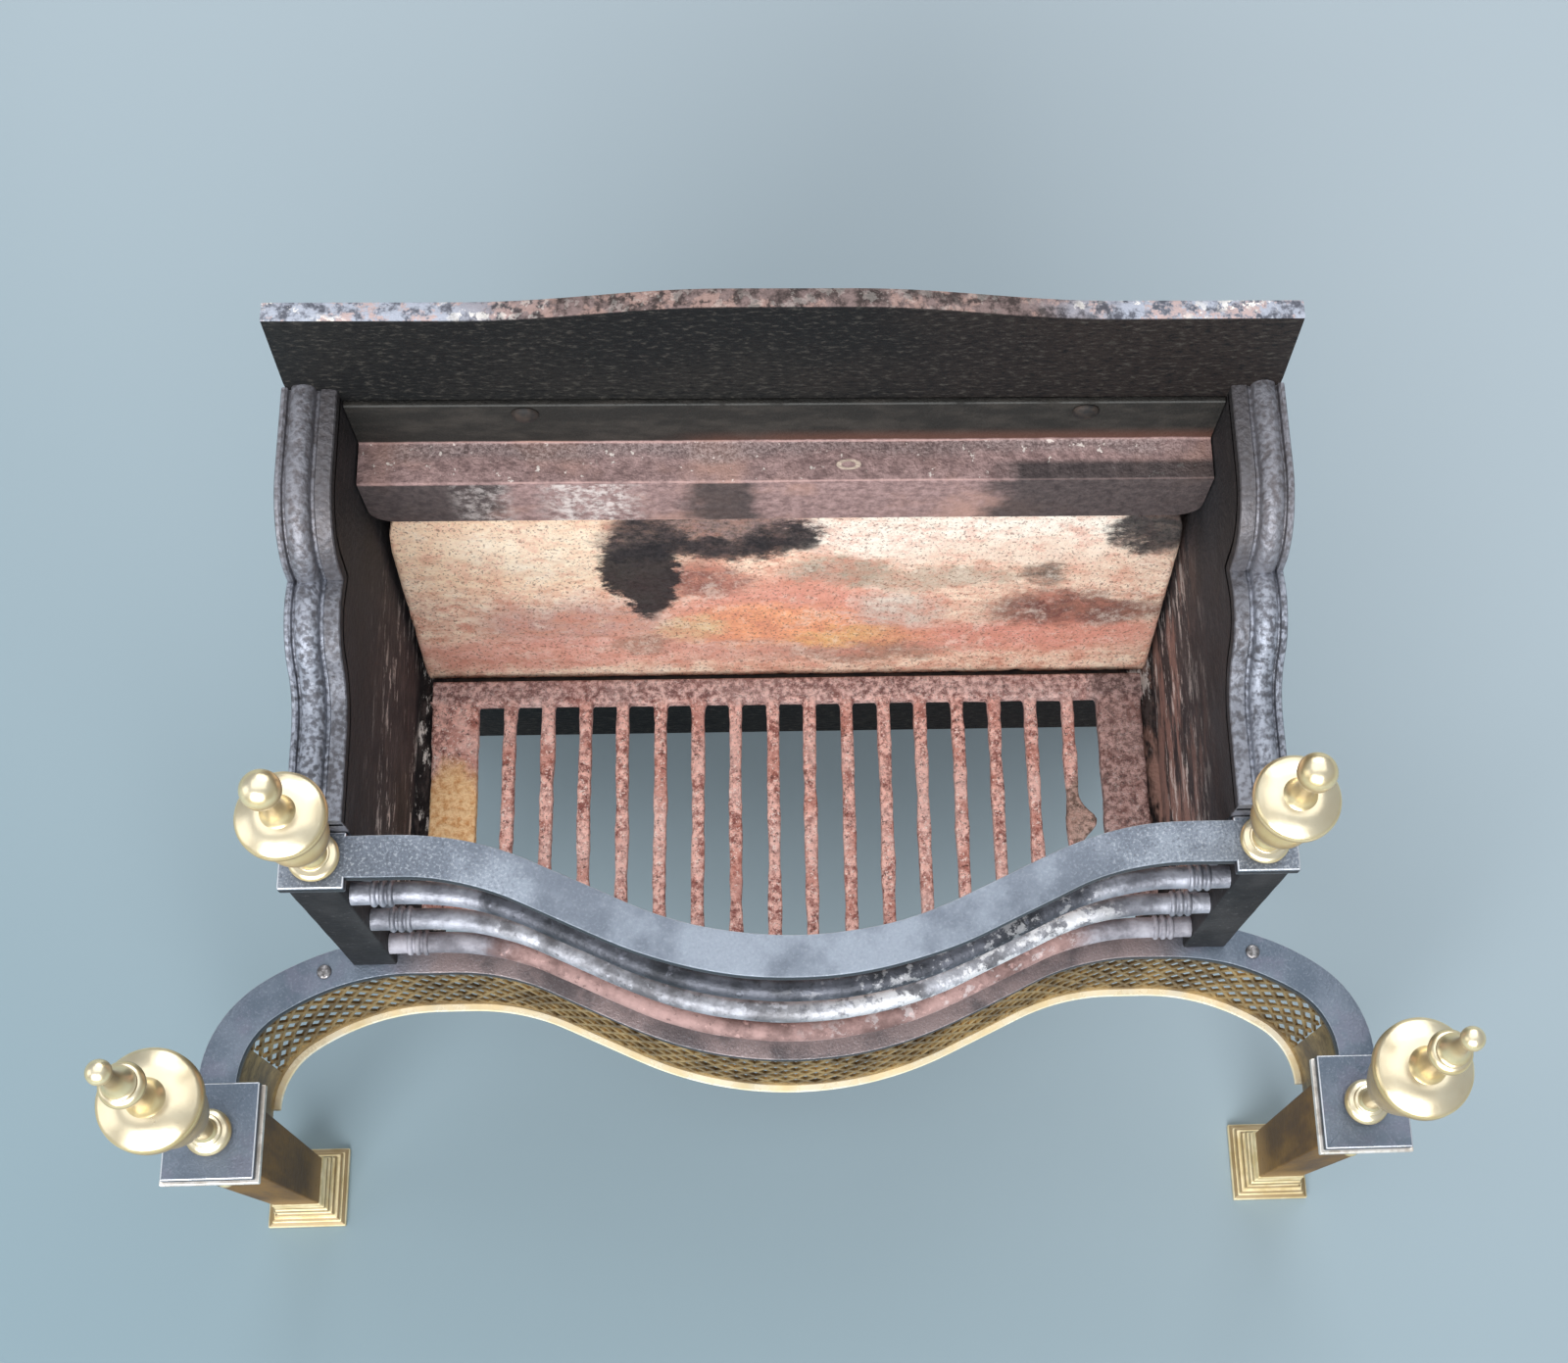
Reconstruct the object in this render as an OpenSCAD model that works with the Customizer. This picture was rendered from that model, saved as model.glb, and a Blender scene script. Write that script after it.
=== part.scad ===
// Serpentine-fronted fire basket: cast fireback and cheeks, steel rails, brass legs, fret and finials.
// Origin: centre of the footprint, on the floor. Front faces -Y.

/* [Overall] */
// Width across the front leg caps
overall_w = 760; // [740:5:800]
// Depth from the leg caps to the back of the rear bolts
overall_d = 394; // [385:1:410]

/* [Fireback] */
// How far the fireback's shoulders reach beyond the inner faces of the cheeks
plate_beyond = 27; // [22:1:36]
// Height of the shoulders
shoulder_z = 587; // [560:1:600]
// Height of the fireback at its top corners
plate_h = 652; // [630:1:700]
// Rise of the curved crest above the corners
crest_rise = 13; // [8:1:24]
// Half width of the crest at its foot
crest_half_w = 165; // [140:5:200]
// Half width of the level top of the crest
crest_flat = 32; // [20:1:50]
// Inset of the top corners from the shoulders
corner_inset = 3; // [0:1:8]
// Thickness of the fireback
plate_t = 11; // [8:1:14]

/* [Cheeks] */
// How far the front leg caps stand outside the inner faces of the cheeks
leg_beyond = 141; // [137:0.5:145]
// Thickness of the cheek wall
cheek_wall = 12; // [10:1:18]
// Width of the moulded coping on a cheek
coping_w = 29; // [27:1:34]
// Width of the round bead on the coping
coping_bead_w = 13; // [10:1:15]
// Depth of the coping below its top line
coping_t = 16; // [12:1:20]
// Height of the rear part of the coping
coping_rear_z = 586; // [580:1:592]
// Height of the front part of the coping
coping_front_z = 510; // [505:1:516]
// Reach of the ledges inside the cheeks
ledge_reach = 21; // [14:1:24]
// Thickness of the ledges
ledge_t = 12; // [8:1:16]

/* [Brick] */
// Gap between the firebrick and each cheek
brick_gap = 4; // [3:0.5:14]
// Thickness of the firebrick
brick_t = 18; // [12:1:20]
// Distance from the fireback to the front foot of the firebrick
brick_foot = 58; // [54:1:60]

/* [Retainer] */
// Gap between the brick retainer and each cheek
retainer_gap = 1; // [0.5:0.5:4]
// Thickness of the retainer metal
retainer_t = 4; // [3:0.5:5]
// Height of the top of the retainer
retainer_top_z = 568; // [560:1:576]
// Height of the retainer's step
retainer_step_z = 524; // [518:1:530]
// Height of the lower edge of the retainer's lip
retainer_lip_z = 473; // [465:1:480]
// Reach of the retainer in front of the fireback
retainer_reach = 29; // [28:1:34]
// Place of the left retainer bolt
bolt_left_x = 143; // [100:1:190]
// Place of the right retainer bolt
bolt_right_x = 162; // [100:1:190]
// Diameter of the through bolts
bolt_d = 8; // [6:0.5:9]

/* [Grate] */
// Gap between the bottom grate and each cheek
grate_gap = 9; // [5:0.5:15]
// Thickness of the bottom grate
grate_t = 10; // [7:1:14]
// Width of the solid bar at each side of the grate
side_bar_w = 30; // [24:1:36]
// Width of a thin bar
bar_w = 8; // [6:0.5:11]
// Number of thin bars
bar_count = 16; // [12:2:16]
// Width of the rear margin of the grate
rear_margin = 16; // [12:1:20]
// Width of the front margin of the grate
front_margin = 13; // [10:1:20]
// How far the grate lifts out
grate_lift = 400; // [380:10:500]

/* [Rails] */
// Top of the upper rail
top_rail_z = 484; // [478:1:492]
// Top of the lower rail
low_rail_z = 287; // [280:1:295]
// Thickness of the upper rail
top_rail_t = 8; // [5:0.5:9]
// Thickness of the lower rail
low_rail_t = 7; // [5:0.5:9]
// Width of both rails
rail_w = 23; // [20:1:25]
// Plain straight part of the rails between the bow and where a wing begins
plain_run = 21.3; // [15:0.1:30]
// Radius of the bow at the centre
bow_r = 230; // [210:5:240]
// Radius of the hollows beside it
hollow_r = 163; // [150:1:170]
// Steepest angle of the bow in degrees
bow_angle = 25; // [24:0.5:26]
// How far the wings carry the leg caps in front of the lower rail
wing_reach = 76.1; // [72:0.1:84]
// How far the upper rail's ends stand behind the lower rail's
top_rail_set = 9.5; // [8:0.5:10]

/* [Bars] */
// Diameter of the round front bars
round_bar_d = 13; // [11:0.5:14]
// How far the round bars' ends stand behind the lower rail's
round_bar_set = 1; // [1:0.5:5]
// Height of the lowest round bar above the lower rail
first_bar_gap = 28; // [20:1:34]
// Vertical distance between the round bars
round_bar_step = 61; // [55:1:64]
// Diameter of the turned rings on the round bars
ring_d = 15.5; // [15:0.5:17]

/* [Stiles] */
// How far a stile's inner face stands outside the cheek's
stile_beyond = 6; // [4:0.5:9]
// Width of a stile
stile_w = 27; // [24:0.5:30]
// Depth of a stile from front to back
stile_d = 22; // [20:0.5:24]
// How far the back of a stile stands behind the lower rail's centre line
stile_set = 16; // [14:0.5:18]
// Width of an upper pad
pad_w = 35; // [32:0.5:40]

/* [Wings] */
// How far inside the cheeks' inner faces a wing begins
wing_inside = 4; // [0:1:9]
// Tight radius of the wing at the leg
wing_r = 60; // [54:1:64]

/* [Legs] */
// Side of the brass cap plate
cap_w = 58.6; // [56:0.2:62]
// Thickness of the brass cap plate
cap_t = 5; // [4:0.5:7]
// Side of a leg at the top
leg_top_w = 42; // [38:0.5:44]
// Side of a leg at the foot
leg_foot_w = 32; // [28:0.5:34]
// Side of the square base of a foot
foot_w = 54.6; // [50:0.2:60]
// Height of a foot
foot_h = 45; // [40:1:55]
// Radius of a rosette
rosette_r = 9; // [7:0.5:12]
// Height of a rosette's centre
rosette_z = 241; // [225:1:250]

/* [Fret] */
// Height of the lower edge of the bead under the fret
bead_low_z = 174; // [166:1:190]
// Radius of the bead under the fret
bead_r = 3.2; // [2.5:0.1:4]
// Thickness of the fret panel
fret_t = 2.5; // [1.5:0.5:3]
// Distance between the diamonds of the fret
diamond_pitch = 22; // [18:1:30]
// Width of the straps between the diamonds
strap_w = 4; // [3:0.5:6]
// Plain border above and below the diamonds
fret_border = 7; // [5:1:12]
// Plain margin at the ends of the fret
fret_margin = 34; // [24:1:50]

/* [Finials] */
// Diameter of the rod through each finial
rod_d = 6; // [4:0.5:8]
// Radius of the rim of an upper finial
upper_rim_r = 23; // [18:0.5:26]
// Height of the cup of an upper finial
upper_cup_h = 81; // [60:1:95]
// Height of the cover of an upper finial
upper_cover_h = 33; // [25:1:50]
// Radius of the ball of an upper finial
upper_ball_r = 10.2; // [8:0.2:12]
// Radius of the rim of a lower finial
lower_rim_r = 28.5; // [22:0.5:29]
// Height of the cup of a lower finial
lower_cup_h = 129; // [100:1:150]
// Height of the cover of a lower finial
lower_cover_h = 44; // [30:1:60]
// Height of the spire of a lower finial
lower_spire_h = 52; // [40:1:64]

/* [Hidden] */
// Running clearance around rods, bolts and tenons
fit = 0.15;
// Clearance between loose neighbours
clear = 0.3;
// How far a straight run reaches into the next bend, and how much slimmer it is there
lap = 1;
core = 0.05;
last_bend_short_angle = 0.06;
// Nuts and bolt ends behind the fireback
nut_h = 7;
nut_w = 15;
bolt_end = 3;
// Front face of the fireback
face_y = overall_d / 2 - plate_t - nut_h - bolt_end;
// Leg axis
leg_x = (overall_w - cap_w) / 2;
leg_y = -(overall_d - cap_w) / 2;
// Widths inside the legs, all set off from the inner faces of the cheeks
cheek_inner_x = overall_w / 2 - leg_beyond;
plate_half_w = cheek_inner_x + plate_beyond;
brick_half_w = cheek_inner_x - brick_gap;
retainer_half_w = cheek_inner_x - retainer_gap;
grate_half_w = cheek_inner_x - grate_gap;
stile_inner_x = cheek_inner_x + stile_beyond;
pad_inner_x = cheek_inner_x + 1;
pad_outer_x = pad_inner_x + pad_w;
wing_start_x = cheek_inner_x - wing_inside;
// Where the hollows of the bow end, the straight run between its arcs, and how far it comes forward
bow_end_x = wing_start_x - plain_run;
bow_run = (bow_end_x - (bow_r + hollow_r) * sin(bow_angle)) / cos(bow_angle);
bow = (bow_r + hollow_r) * (1 - cos(bow_angle)) + bow_run * sin(bow_angle);
// Centre lines at the ends of the curves
low_y = leg_y + cap_w / 2 + clear + wing_reach;
top_y = low_y + top_rail_set;
bars_y = low_y + round_bar_set;
// Wing of the lower rail, square to the rear edge of the leg cap where it arrives
wing_end_x = leg_x - 1.7;
wing_end_y = leg_y + cap_w / 2 + clear;
wing_dx = wing_end_x - wing_start_x;
wing_dy = low_y - wing_end_y;
wing_big_r = (wing_dx * wing_dx + wing_dy * wing_dy - 2 * wing_dx * wing_r) / (2 * (wing_dy - wing_r));
wing_angle = atan2(wing_dx - wing_r, wing_big_r - wing_dy);
// Levels
top_under_z = top_rail_z - top_rail_t;
low_under_z = low_rail_z - low_rail_t;
cap_under_z = low_under_z - cap_t;
ledge_under_z = low_rail_z - ledge_t;
// Stiles and upper pads, and how far a finial stands inward and back from the middle of its pad
stile_rear_y = low_y + stile_set;
pad_lap = 7;
pad_nose = 2;
pad_back_y = stile_rear_y + pad_lap;
pad_front_y = stile_rear_y - stile_d - pad_nose;
finial_set = 1.5;
upper_x = (pad_inner_x + pad_outer_x) / 2 - finial_set;
upper_y = (pad_back_y + pad_front_y) / 2 + finial_set;
notch = 3;
tenon_d = 8;
tenon_len = 10;
// Heights of the round bars, and the turned rings at their ends
bar_z = [for (i = [0 : 2]) low_rail_z + first_bar_gap + i * round_bar_step];
ring_start = 11;
ring_w = 3.2;
ring_gap = 1.5;
// Cheek side profile, measured forward from the fireback
scroll_r = 48;
scroll_z = coping_rear_z - scroll_r;
knee_u = 106;
knee_r = 40;
knee_z = 505;
knee_angle = 60;
sweep_r = 30;
sweep_u = knee_u + (knee_r + sweep_r) * sin(knee_angle);
sweep_z = coping_front_z + sweep_r;
pad_clear = 0.5;
coping_end = face_y - pad_back_y - pad_clear;
wall_end = face_y - stile_rear_y;
// Bands of the coping beside its round bead: widths, and how far each lies below the top line
inner_flat_w = 9;
fillet_w = 2;
flat_drop = 6;
groove_drop = 5;
fillet_drop = 3;
// Slope of the firebrick, from its foot to the lip of the retainer, and how far it goes up behind the lip
brick_tuck = 14;
brick_top_u = retainer_reach - retainer_t - clear;
brick_lean = atan2(brick_foot - brick_top_u, retainer_lip_z - low_rail_z);
brick_cap_z = retainer_lip_z + brick_tuck;
brick_len = (brick_cap_z - low_rail_z - brick_t * sin(brick_lean)) / cos(brick_lean);
// Shelf that carries the brick and the back of the grate
shelf_t = 8;
shelf_reach = brick_foot + 14;
shelf_drop = 34;
shelf_half_w = cheek_inner_x - ledge_reach - 0.5;
shelf_bolt_x = 150;
shelf_bolt_z = low_rail_z - shelf_t - shelf_drop / 2;
// Retainer
retainer_bolt_z = retainer_top_z - 9;
lip_corner_r = 14;
head_r = 7.5;
head_h = 4;
// Cheek screws, put in from behind
cheek_screw_z = [330, 520];
cheek_screw_x = cheek_inner_x + cheek_wall / 2;
cheek_screw_d = 6;
cheek_screw_len = 18;
// Grate
grate_back_y = face_y - brick_foot - 4;
grate_front_off = -(rail_w / 2 + 3);
bar_pitch = (2 * (grate_half_w - side_bar_w) + bar_w) / (bar_count + 1);
slot_w = bar_pitch - bar_w;
slot_round = 3;
// Fret and bead, measured forward from the centre line of the lower rail; the bead stands out in front
fret_front = rail_w / 2 - 1.5;
fret_rear = fret_front - fret_t;
fret_mid = fret_front - fret_t / 2;
bead_stand = 1;
bead_mid = fret_front + bead_stand;
bead_z = bead_low_z + bead_r;
bead_flat = bead_r * 0.8;
fret_low_z = bead_z + bead_flat;
lattice_h = low_under_z - fret_low_z - 2 * fret_border;
diamond_w = diamond_pitch - strap_w;
row_h = lattice_h / 2.5;
diamond_h = row_h - strap_w;
mid_z = (low_under_z + fret_low_z) / 2;
// Lengths along the lower rail's centre line: to the ends of the bow's arc, its run, its hollow and the
// plain run, and to the ends of both arcs of the wing
per_degree = PI / 180;
len_a = bow_r * bow_angle * per_degree;
len_b = len_a + bow_run;
len_c = len_b + hollow_r * bow_angle * per_degree;
len_d = len_c + plain_run;
len_e = len_d + wing_big_r * wing_angle * per_degree;
len_f = len_e + wing_r * (90 - wing_angle) * per_degree;
columns = floor((len_f - fret_margin - diamond_pitch / 2) / diamond_pitch);
// Brackets that hold the fret under the wings, at an angle round the first arc of the wing
bracket_angle = 20;
bracket_w = 13.8;
bracket_turn_angle = bracket_w / wing_big_r / per_degree;
bracket_t = 2.5;
bracket_h = 20;
rivet_r = 4.5;
rivet_h = 2.2;
rivet_d = 4;
// Legs
leg_len = cap_under_z - foot_h;
leg_taper = atan2((leg_top_w - leg_foot_w) / 2, leg_len);
rosette_t = 3;
rod_in_leg = 40;
rod_in_stile = 30;
rod_in_tip = 8;
upper_cover_z = top_rail_z + upper_cup_h;
lower_cover_z = low_rail_z + lower_cup_h;
upper_rod_z = upper_cover_z + upper_cover_h;
lower_rod_z = lower_cover_z + lower_cover_h;
// Turned shapes of the finials
base_r = 14;
base_h = 8;
upper_rim_h = 5;
lower_rim_h = 8;
upper_neck_r = 5;
lower_neck_r = 6.5;
spire_ring_r = 12.6;
spire_ring_z = 5.5;
spire_neck_r = 3.2;
spire_tip_r = 6.7;

$fn = 96;

// Side view: x runs forward from the fireback, y is height; extruded along X from x0
module side(x0, w) {
  translate([x0, face_y, 0]) mirror([0, 1, 0]) rotate([90, 0, 90]) linear_extrude(w) children();
}

// Rod or bore along Y, from y0 backwards over len
module along_y(x, y0, z, r, len) {
  translate([x, y0, z]) rotate([-90, 0, 0]) cylinder(h = len, r = r);
}

// Copies for the left and right side
module both() {
  children();
  mirror([1, 0, 0]) children();
}

// Section swept round part of a circle in plan, from angle a over span degrees
module bend(cx, cy, a, span) {
  translate([cx, cy, 0]) rotate([0, 0, a]) rotate_extrude(angle = span, $fn = 360) children();
}

// Section swept straight along X, its own x running forward
module straight(x0, x1) {
  translate([x0, 0, 0]) mirror([0, 1, 0]) rotate([90, 0, 90]) linear_extrude(x1 - x0) children();
}

// Points of the bow at the offset d in front of its centre line
function bow_cy(end_y) = end_y - bow + bow_r;
function arc_end(end_y, d) = [(bow_r + d) * sin(bow_angle), bow_cy(end_y) - (bow_r + d) * cos(bow_angle)];
function run_end(end_y, d) = arc_end(end_y, d) + bow_run * [cos(bow_angle), sin(bow_angle)];

// Front line of the bow at the place x
function bow_line(x, end_y, d) =
  abs(x) < arc_end(end_y, d)[0] ? bow_cy(end_y) - sqrt(pow(bow_r + d, 2) - x * x) :
  abs(x) < run_end(end_y, d)[0] ? arc_end(end_y, d)[1] + (abs(x) - arc_end(end_y, d)[0]) * tan(bow_angle) :
  abs(x) < bow_end_x ? end_y - hollow_r + sqrt(pow(hollow_r - d, 2) - pow(bow_end_x - abs(x), 2)) :
  end_y - d;

// Place on the right wing at a number of degrees round its first arc
function wing_point(a) = [wing_start_x + wing_big_r * sin(a), low_y - wing_big_r * (1 - cos(a))];

// Child at the height z on the axis of each rivet
module at_rivets(z) {
  p = wing_point(bracket_angle);
  for (s = [-1, 1]) translate([s * p[0], p[1], z]) children();
}

// Sweep along the bow: the first child bends, the second is its slightly slimmer straight core
module sweep_bow(end_y, end_x) {
  bend(0, bow_cy(end_y), 270 - bow_angle, 2 * bow_angle) translate([bow_r, 0]) children(0);
  both() {
    translate([arc_end(end_y, 0)[0], arc_end(end_y, 0)[1], 0]) rotate([0, 0, bow_angle])
      straight(-lap, bow_run + lap) children(1);
    bend(bow_end_x, end_y - hollow_r, 90, bow_angle) translate([hollow_r, 0]) mirror([1, 0]) children(0);
    translate([bow_end_x, end_y, 0]) straight(-lap, end_x - bow_end_x) children(1);
  }
}

// Sweep round both wings of the lower rail
module sweep_wings() {
  both() {
    bend(wing_start_x, low_y - wing_big_r, 90 - wing_angle, wing_angle)
      translate([wing_big_r, 0]) mirror([1, 0]) children(0);
    translate([wing_point(wing_angle)[0], wing_point(wing_angle)[1], 0]) rotate([0, 0, -wing_angle])
      straight(-lap, lap) children(1);
    bend(wing_end_x - wing_r, wing_end_y, 0, 90 - wing_angle - last_bend_short_angle)
      translate([wing_r, 0]) mirror([1, 0]) children(0);
  }
}

// Rectangular section between the offsets d0 and d1 and the heights z0 and z1
module flat_section(d0, d1, z0, z1, inset = 0) {
  translate([d0 + inset, z0]) square([d1 - d0 - 2 * inset, z1 - z0]);
}

module flat_bow(end_y, d0, d1, z0, z1, end_x) {
  sweep_bow(end_y, end_x) {
    flat_section(d0, d1, z0, z1);
    flat_section(d0, d1, z0, z1, core);
  }
}

module flat_wings(d0, d1, z0, z1) {
  sweep_wings() {
    flat_section(d0, d1, z0, z1);
    flat_section(d0, d1, z0, z1, core);
  }
}

// Region behind the bow, as seen in plan
module bow_region(end_y, d, half_w, back_y) {
  steps = 92;
  front = [for (i = [0 : steps]) let (x = (2 * i / steps - 1) * half_w) [x, bow_line(x, end_y, d)]];
  polygon(concat(front, [[half_w, back_y], [-half_w, back_y]]));
}

// Smooth change from 0 to 1
function ease(t) = (1 - cos(180 * t)) / 2;

module back_plate() {
  corner_x = plate_half_w - corner_inset;
  steps = 14;
  crest = [for (s = [1, -1], i = [0 : steps]) let (t = s > 0 ? i / steps : 1 - i / steps)
    [s * (crest_half_w + (crest_flat - crest_half_w) * t), plate_h + crest_rise * ease(t)]];
  color("dimgray") difference() {
    translate([0, face_y + plate_t, 0]) rotate([90, 0, 0]) linear_extrude(plate_t)
      polygon(concat([[-plate_half_w, 0], [plate_half_w, 0], [plate_half_w, shoulder_z],
        [corner_x, plate_h]], crest, [[-corner_x, plate_h], [-plate_half_w, shoulder_z]]));
    for (x = [-bolt_left_x, bolt_right_x])
      along_y(x, face_y - 1, retainer_bolt_z, bolt_d / 2 + fit, plate_t + 2);
    for (x = [-shelf_bolt_x, shelf_bolt_x])
      along_y(x, face_y - 1, shelf_bolt_z, bolt_d / 2 + fit, plate_t + 2);
    for (s = [-1, 1], z = cheek_screw_z)
      along_y(s * cheek_screw_x, face_y - 1, z, cheek_screw_d / 2 + fit, plate_t + 2);
  }
}

// Side outline of a cheek with its top line lowered by d
module cheek_outline(d, low_z, end_u) {
  square_top = coping_front_z - d;
  knee_low_z = knee_z - knee_r / 2;
  translate([0, low_z]) square([scroll_r, coping_rear_z - d - low_z]);
  translate([scroll_r, scroll_z]) circle(scroll_r - d);
  translate([scroll_r - 1, low_z]) square([scroll_r - d + 1, scroll_z - low_z]);
  translate([knee_u, knee_z]) circle(knee_r - d);
  difference() {
    polygon([[knee_u, knee_z], [sweep_u, sweep_z], [sweep_u, knee_low_z], [knee_u, knee_low_z]]);
    translate([sweep_u, sweep_z]) circle(sweep_r + d);
  }
  translate([0, low_z]) square([end_u, square_top - low_z]);
}

// One band of the coping between the places x0 and x1, its top lowered by d
module coping_band(x0, x1, d) {
  side(x0, x1 - x0) difference() {
    cheek_outline(d, knee_z - knee_r, coping_end);
    cheek_outline(coping_t, knee_z - knee_r - 1, coping_end + 1);
  }
}

module cheek() {
  bead_x = cheek_inner_x + inner_flat_w + fillet_w;
  bead_end = bead_x + coping_bead_w;
  outer_x = cheek_inner_x + coping_w;
  difference() {
    union() {
      side(cheek_inner_x, cheek_wall) {
        difference() {
          cheek_outline(flat_drop, ledge_under_z, coping_end);
          translate([coping_end - 1, top_under_z - clear]) square([2, 1]);
        }
        translate([0, ledge_under_z]) square([wall_end, top_under_z - clear - ledge_under_z]);
      }
      coping_band(cheek_inner_x, bead_x - fillet_w, flat_drop);
      coping_band(bead_x - fillet_w, bead_x, groove_drop);
      coping_band(bead_x, bead_end, 0);
      coping_band(bead_end, outer_x - fillet_w, groove_drop);
      coping_band(outer_x - fillet_w, outer_x, fillet_drop);
      side(cheek_inner_x - ledge_reach, ledge_reach + 1)
        translate([0, ledge_under_z]) square([wall_end, ledge_t]);
    }
    for (z = cheek_screw_z)
      along_y(cheek_screw_x, face_y - cheek_screw_len + plate_t - 1, z, cheek_screw_d / 2 + fit,
        cheek_screw_len);
  }
}

module left_cheek() { color("dimgray") mirror([1, 0, 0]) cheek(); }
module right_cheek() { color("dimgray") cheek(); }

// Domed head on a shank that runs backwards
module dome_bolt(x, y, z, r, h, shank_r, shank_len) {
  dome_r = (r * r + h * h) / (2 * h);
  along_y(x, y, z, shank_r, shank_len);
  translate([x, y, z]) rotate([90, 0, 0]) intersection() {
    translate([0, 0, h - dome_r]) sphere(dome_r);
    cylinder(h = h, r = r);
  }
}

module cheek_screws() {
  color("silver") for (s = [-1, 1], z = cheek_screw_z) {
    along_y(s * cheek_screw_x, face_y - cheek_screw_len + plate_t, z, cheek_screw_d / 2, cheek_screw_len);
    along_y(s * cheek_screw_x, face_y + plate_t, z, cheek_screw_d, 5);
  }
}

module brick_retainer() {
  lip_y = face_y - retainer_reach;
  inner = retainer_half_w - lip_corner_r;
  color("dimgray") difference() {
    side(-retainer_half_w, 2 * retainer_half_w) {
      translate([0, retainer_step_z - retainer_t])
        square([retainer_t, retainer_top_z - retainer_step_z + retainer_t]);
      translate([0, retainer_step_z - retainer_t]) square([retainer_reach, retainer_t]);
      translate([retainer_reach - retainer_t, retainer_lip_z])
        square([retainer_t, retainer_step_z - retainer_lip_z]);
    }
    both() difference() {
      translate([inner, lip_y - 1, retainer_lip_z - 1])
        cube([lip_corner_r + 1, retainer_t + 2, lip_corner_r + 1]);
      along_y(inner, lip_y - 2, retainer_lip_z + lip_corner_r, lip_corner_r, retainer_t + 4);
    }
    for (x = [-bolt_left_x, bolt_right_x])
      along_y(x, face_y - retainer_t - 1, retainer_bolt_z, bolt_d / 2 + fit, retainer_t + 2);
  }
}

module retainer_bolts() {
  color("gray") for (x = [-bolt_left_x, bolt_right_x])
    dome_bolt(x, face_y - retainer_t, retainer_bolt_z, head_r, head_h, bolt_d / 2,
      retainer_t + plate_t + nut_h + bolt_end);
}

module firebrick() {
  rise = [-sin(brick_lean), cos(brick_lean)] * brick_len;
  foot = [brick_foot, low_rail_z];
  rear_foot = brick_foot - brick_t / cos(brick_lean);
  color("navajowhite") side(-brick_half_w, 2 * brick_half_w) polygon([
    foot,
    foot + rise,
    foot + rise + [-cos(brick_lean), -sin(brick_lean)] * brick_t,
    [rear_foot, low_rail_z]]);
}

module brick_shelf() {
  color("dimgray") difference() {
    side(-shelf_half_w, 2 * shelf_half_w) {
      translate([0, low_rail_z - shelf_t]) square([shelf_reach, shelf_t]);
      translate([0, low_rail_z - shelf_t - shelf_drop]) square([shelf_t, shelf_drop]);
    }
    for (x = [-shelf_bolt_x, shelf_bolt_x])
      along_y(x, face_y - shelf_t - 1, shelf_bolt_z, bolt_d / 2 + fit, shelf_t + 2);
  }
}

module shelf_bolts() {
  color("gray") for (x = [-shelf_bolt_x, shelf_bolt_x])
    dome_bolt(x, face_y - shelf_t, shelf_bolt_z, head_r, head_h, bolt_d / 2,
      shelf_t + plate_t + nut_h + bolt_end);
}

module rear_nuts() {
  spots = [[-bolt_left_x, retainer_bolt_z], [bolt_right_x, retainer_bolt_z], [-shelf_bolt_x, shelf_bolt_z],
    [shelf_bolt_x, shelf_bolt_z]];
  color("gray") for (p = spots) difference() {
    translate([p[0], face_y + plate_t, p[1]]) rotate([-90, 0, 0]) cylinder(h = nut_h, d = nut_w, $fn = 6);
    along_y(p[0], face_y + plate_t - 1, p[1], bolt_d / 2 + fit, nut_h + 2);
  }
}

// Slot of the grate in plan, with softened corners
module slot(x, y0, y1) {
  r = slot_round;
  translate([x - slot_w / 2 + r, y0]) square([slot_w - 2 * r, y1 - y0]);
  translate([x - slot_w / 2, y0 + r]) square([slot_w, y1 - y0 - 2 * r]);
  for (sx = [-1, 1], y = [y0 + r, y1 - r]) translate([x + sx * (slot_w / 2 - r), y]) circle(r, $fn = 24);
}

module bottom_grate() {
  color("rosybrown") translate([0, 0, low_rail_z]) linear_extrude(grate_t) difference() {
    bow_region(top_y, grate_front_off, grate_half_w, grate_back_y);
    for (i = [0 : bar_count]) {
      x = (i - bar_count / 2) * bar_pitch;
      slot(x, bow_line(abs(x) > 0 ? abs(x) + slot_w / 2 : 0, top_y, grate_front_off) + front_margin,
        grate_back_y - rear_margin);
    }
  }
}

// Bores for the finial rods, through everything between z0 and z1
module upper_bores(z0, z1) {
  for (s = [-1, 1]) translate([s * upper_x, upper_y, z0]) cylinder(h = z1 - z0, r = rod_d / 2 + fit);
}
module lower_bores(z0, z1) {
  for (s = [-1, 1]) translate([s * leg_x, leg_y, z0]) cylinder(h = z1 - z0, r = rod_d / 2 + fit);
}

module top_rail() {
  color("slategray") difference() {
    union() {
      flat_bow(top_y, -rail_w / 2, rail_w / 2, top_under_z, top_rail_z, pad_inner_x + 1);
      both() {
        translate([pad_inner_x, pad_front_y, top_under_z])
          cube([pad_w, pad_back_y - pad_front_y, top_rail_t]);
        translate([pad_inner_x - notch, top_y - rail_w / 2 - notch, top_under_z])
          cube([notch + 1, notch + 1, top_rail_t]);
      }
    }
    upper_bores(top_under_z - 1, top_rail_z + 1);
  }
}

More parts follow.
